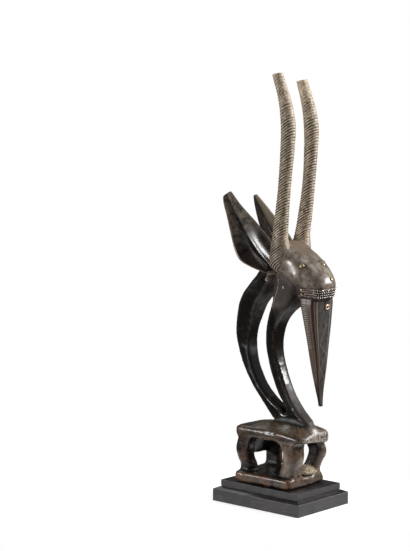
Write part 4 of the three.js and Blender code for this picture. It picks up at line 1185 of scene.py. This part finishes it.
centred = add(tree, "GeometryNodeTransform", {"Geometry": (strand, "Mesh"), "Translation": (drop, "Vector")})
spin_by = add(tree, "FunctionNodeRandomValue", {
    0: (-STRAND_TILT, -STRAND_TILT, 0.0), 1: (STRAND_TILT, STRAND_TILT, 6.28), "Seed": 4},
    data_type="FLOAT_VECTOR")
lay = add(tree, "FunctionNodeEulerToRotation", {"Euler": (spin_by, 0)})
turn = add(tree, "FunctionNodeRotateRotation", {
    "Rotation": (scatter, "Rotation"), "Rotate By": (lay, "Rotation")}, rotation_space="LOCAL")
vary = add(tree, "FunctionNodeRandomValue", {2: 0.35, 3: 1.0, "Seed": 9}, data_type="FLOAT")
laid = add(tree, "GeometryNodeInstanceOnPoints", {
    "Points": (scatter, "Points"), "Instance": (centred, "Geometry"), "Rotation": (turn, "Rotation"),
    "Scale": (vary, 1)})
both = add(tree, "GeometryNodeJoinGeometry", {"Geometry": (entry, "Geometry")})
tree.links.new(laid.outputs["Instances"], both.inputs["Geometry"])
real = add(tree, "GeometryNodeRealizeInstances", {"Geometry": (both, "Geometry")})
coat = add(tree, "GeometryNodeSetMaterial", {"Geometry": (real, "Geometry"), "Material": (entry, "Finish")})
add(tree, "NodeGroupOutput", {"Geometry": (coat, "Geometry")})
grown(wad, tree, {"Strand length": STRAND_LENGTH, "Strand radius": STRAND_RADIUS, "Strand curl": STRAND_CURL,
                  "Density": STRANDS_PER_AREA, "Seed": 7, "Finish": fibre})
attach(wad, "root")
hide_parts("fibre_wad")

# Room: a disc of plain white paper under the plinth, and soft lamps on both sides and above. The
# camera stands where the picture was taken, turned off the object's own lines and a little above.
VIEW_AZIMUTH = math.radians(41.57)
VIEW_ELEVATION = math.radians(7.6)
CAMERA_PLACE = (2.2781, -2.7726, 0.8896)
FOCAL_PIXELS = 2040.0
PICTURE_HEIGHT = 551.0
SENSOR = 36.0
right = Vector((math.cos(VIEW_AZIMUTH), math.sin(VIEW_AZIMUTH), 0))
back = Vector((math.sin(VIEW_AZIMUTH) * math.cos(VIEW_ELEVATION),
               -math.cos(VIEW_AZIMUTH) * math.cos(VIEW_ELEVATION), math.sin(VIEW_ELEVATION)))
camera = bpy.data.objects.new("camera", bpy.data.cameras.new("camera"))
scene.collection.objects.link(camera)
camera.data.sensor_width = SENSOR
camera.data.lens = FOCAL_PIXELS / PICTURE_HEIGHT * SENSOR
camera.data.clip_end = 50
turn = Matrix((right, back.cross(right), back)).transposed().to_4x4()
camera.matrix_world = Matrix.Translation(CAMERA_PLACE) @ turn
scene.camera = camera

PAPER_RADIUS = 0.3
AMBIENT = 0.09
LAMP_AIM = 0.4

a = around(96)
floor = new_mesh("floor", stacked(PAPER_RADIUS * np.cos(a), PAPER_RADIUS * np.sin(a), 0), [tuple(range(96))])
# Matt white paper, overexposed by its own glow as in the picture.
paper, tree = new_material("matt_white_paper")
paper_face = add(tree, "ShaderNodeBsdfPrincipled", {
    "Base Color": linear("#dcdcdc"), "Roughness": 0.9, "Emission Color": linear("#ffffff"),
    "Emission Strength": 0.62})
add(tree, "ShaderNodeOutputMaterial", {"Surface": (paper_face, "BSDF")})
floor.data.materials.append(paper)


def softbox(name, azimuth, height, distance, size, power):
    """A soft lamp aimed at the figure's axis; azimuth is counted in degrees from the camera's side."""
    a = VIEW_AZIMUTH + math.radians(azimuth)
    lamp = bpy.data.objects.new(name, bpy.data.lights.new(name, "AREA"))
    lamp.data.shape = "RECTANGLE"
    lamp.data.size, lamp.data.size_y = size
    lamp.data.energy = power
    spot = Vector((math.sin(a) * distance, -math.cos(a) * distance, height))
    aim = (Vector((0, 0, LAMP_AIM)) - spot).to_track_quat("-Z", "Y")
    lamp.matrix_world = Matrix.Translation(spot) @ aim.to_matrix().to_4x4()
    scene.collection.objects.link(lamp)


softbox("key_light", 94, 1.0, 1.6, (0.6, 0.42), 34)
softbox("left_light", -75, 0.46, 1.5, (0.4, 0.3), 16)
softbox("top_light", -160, 1.85, 1.4, (0.7, 0.5), 8)
softbox("ceiling_light", 60, 2.2, 0.9, (1.0, 1.0), 14)

# The room is white where the camera looks past the paper, and dim to everything else, so that the
# dark wood keeps its depth.
world = bpy.data.worlds.new("white_room")
world.use_nodes = True
sky = world.node_tree
ray = add(sky, "ShaderNodeLightPath")
level = add(sky, "ShaderNodeMapRange", {"Value": (ray, "Is Camera Ray"), "To Min": AMBIENT, "To Max": 1.0})
sky.links.new(level.outputs["Result"], sky.nodes["Background"].inputs["Strength"])
sky.nodes["Background"].inputs["Color"].default_value = (1, 1, 1, 1)
scene.world = world
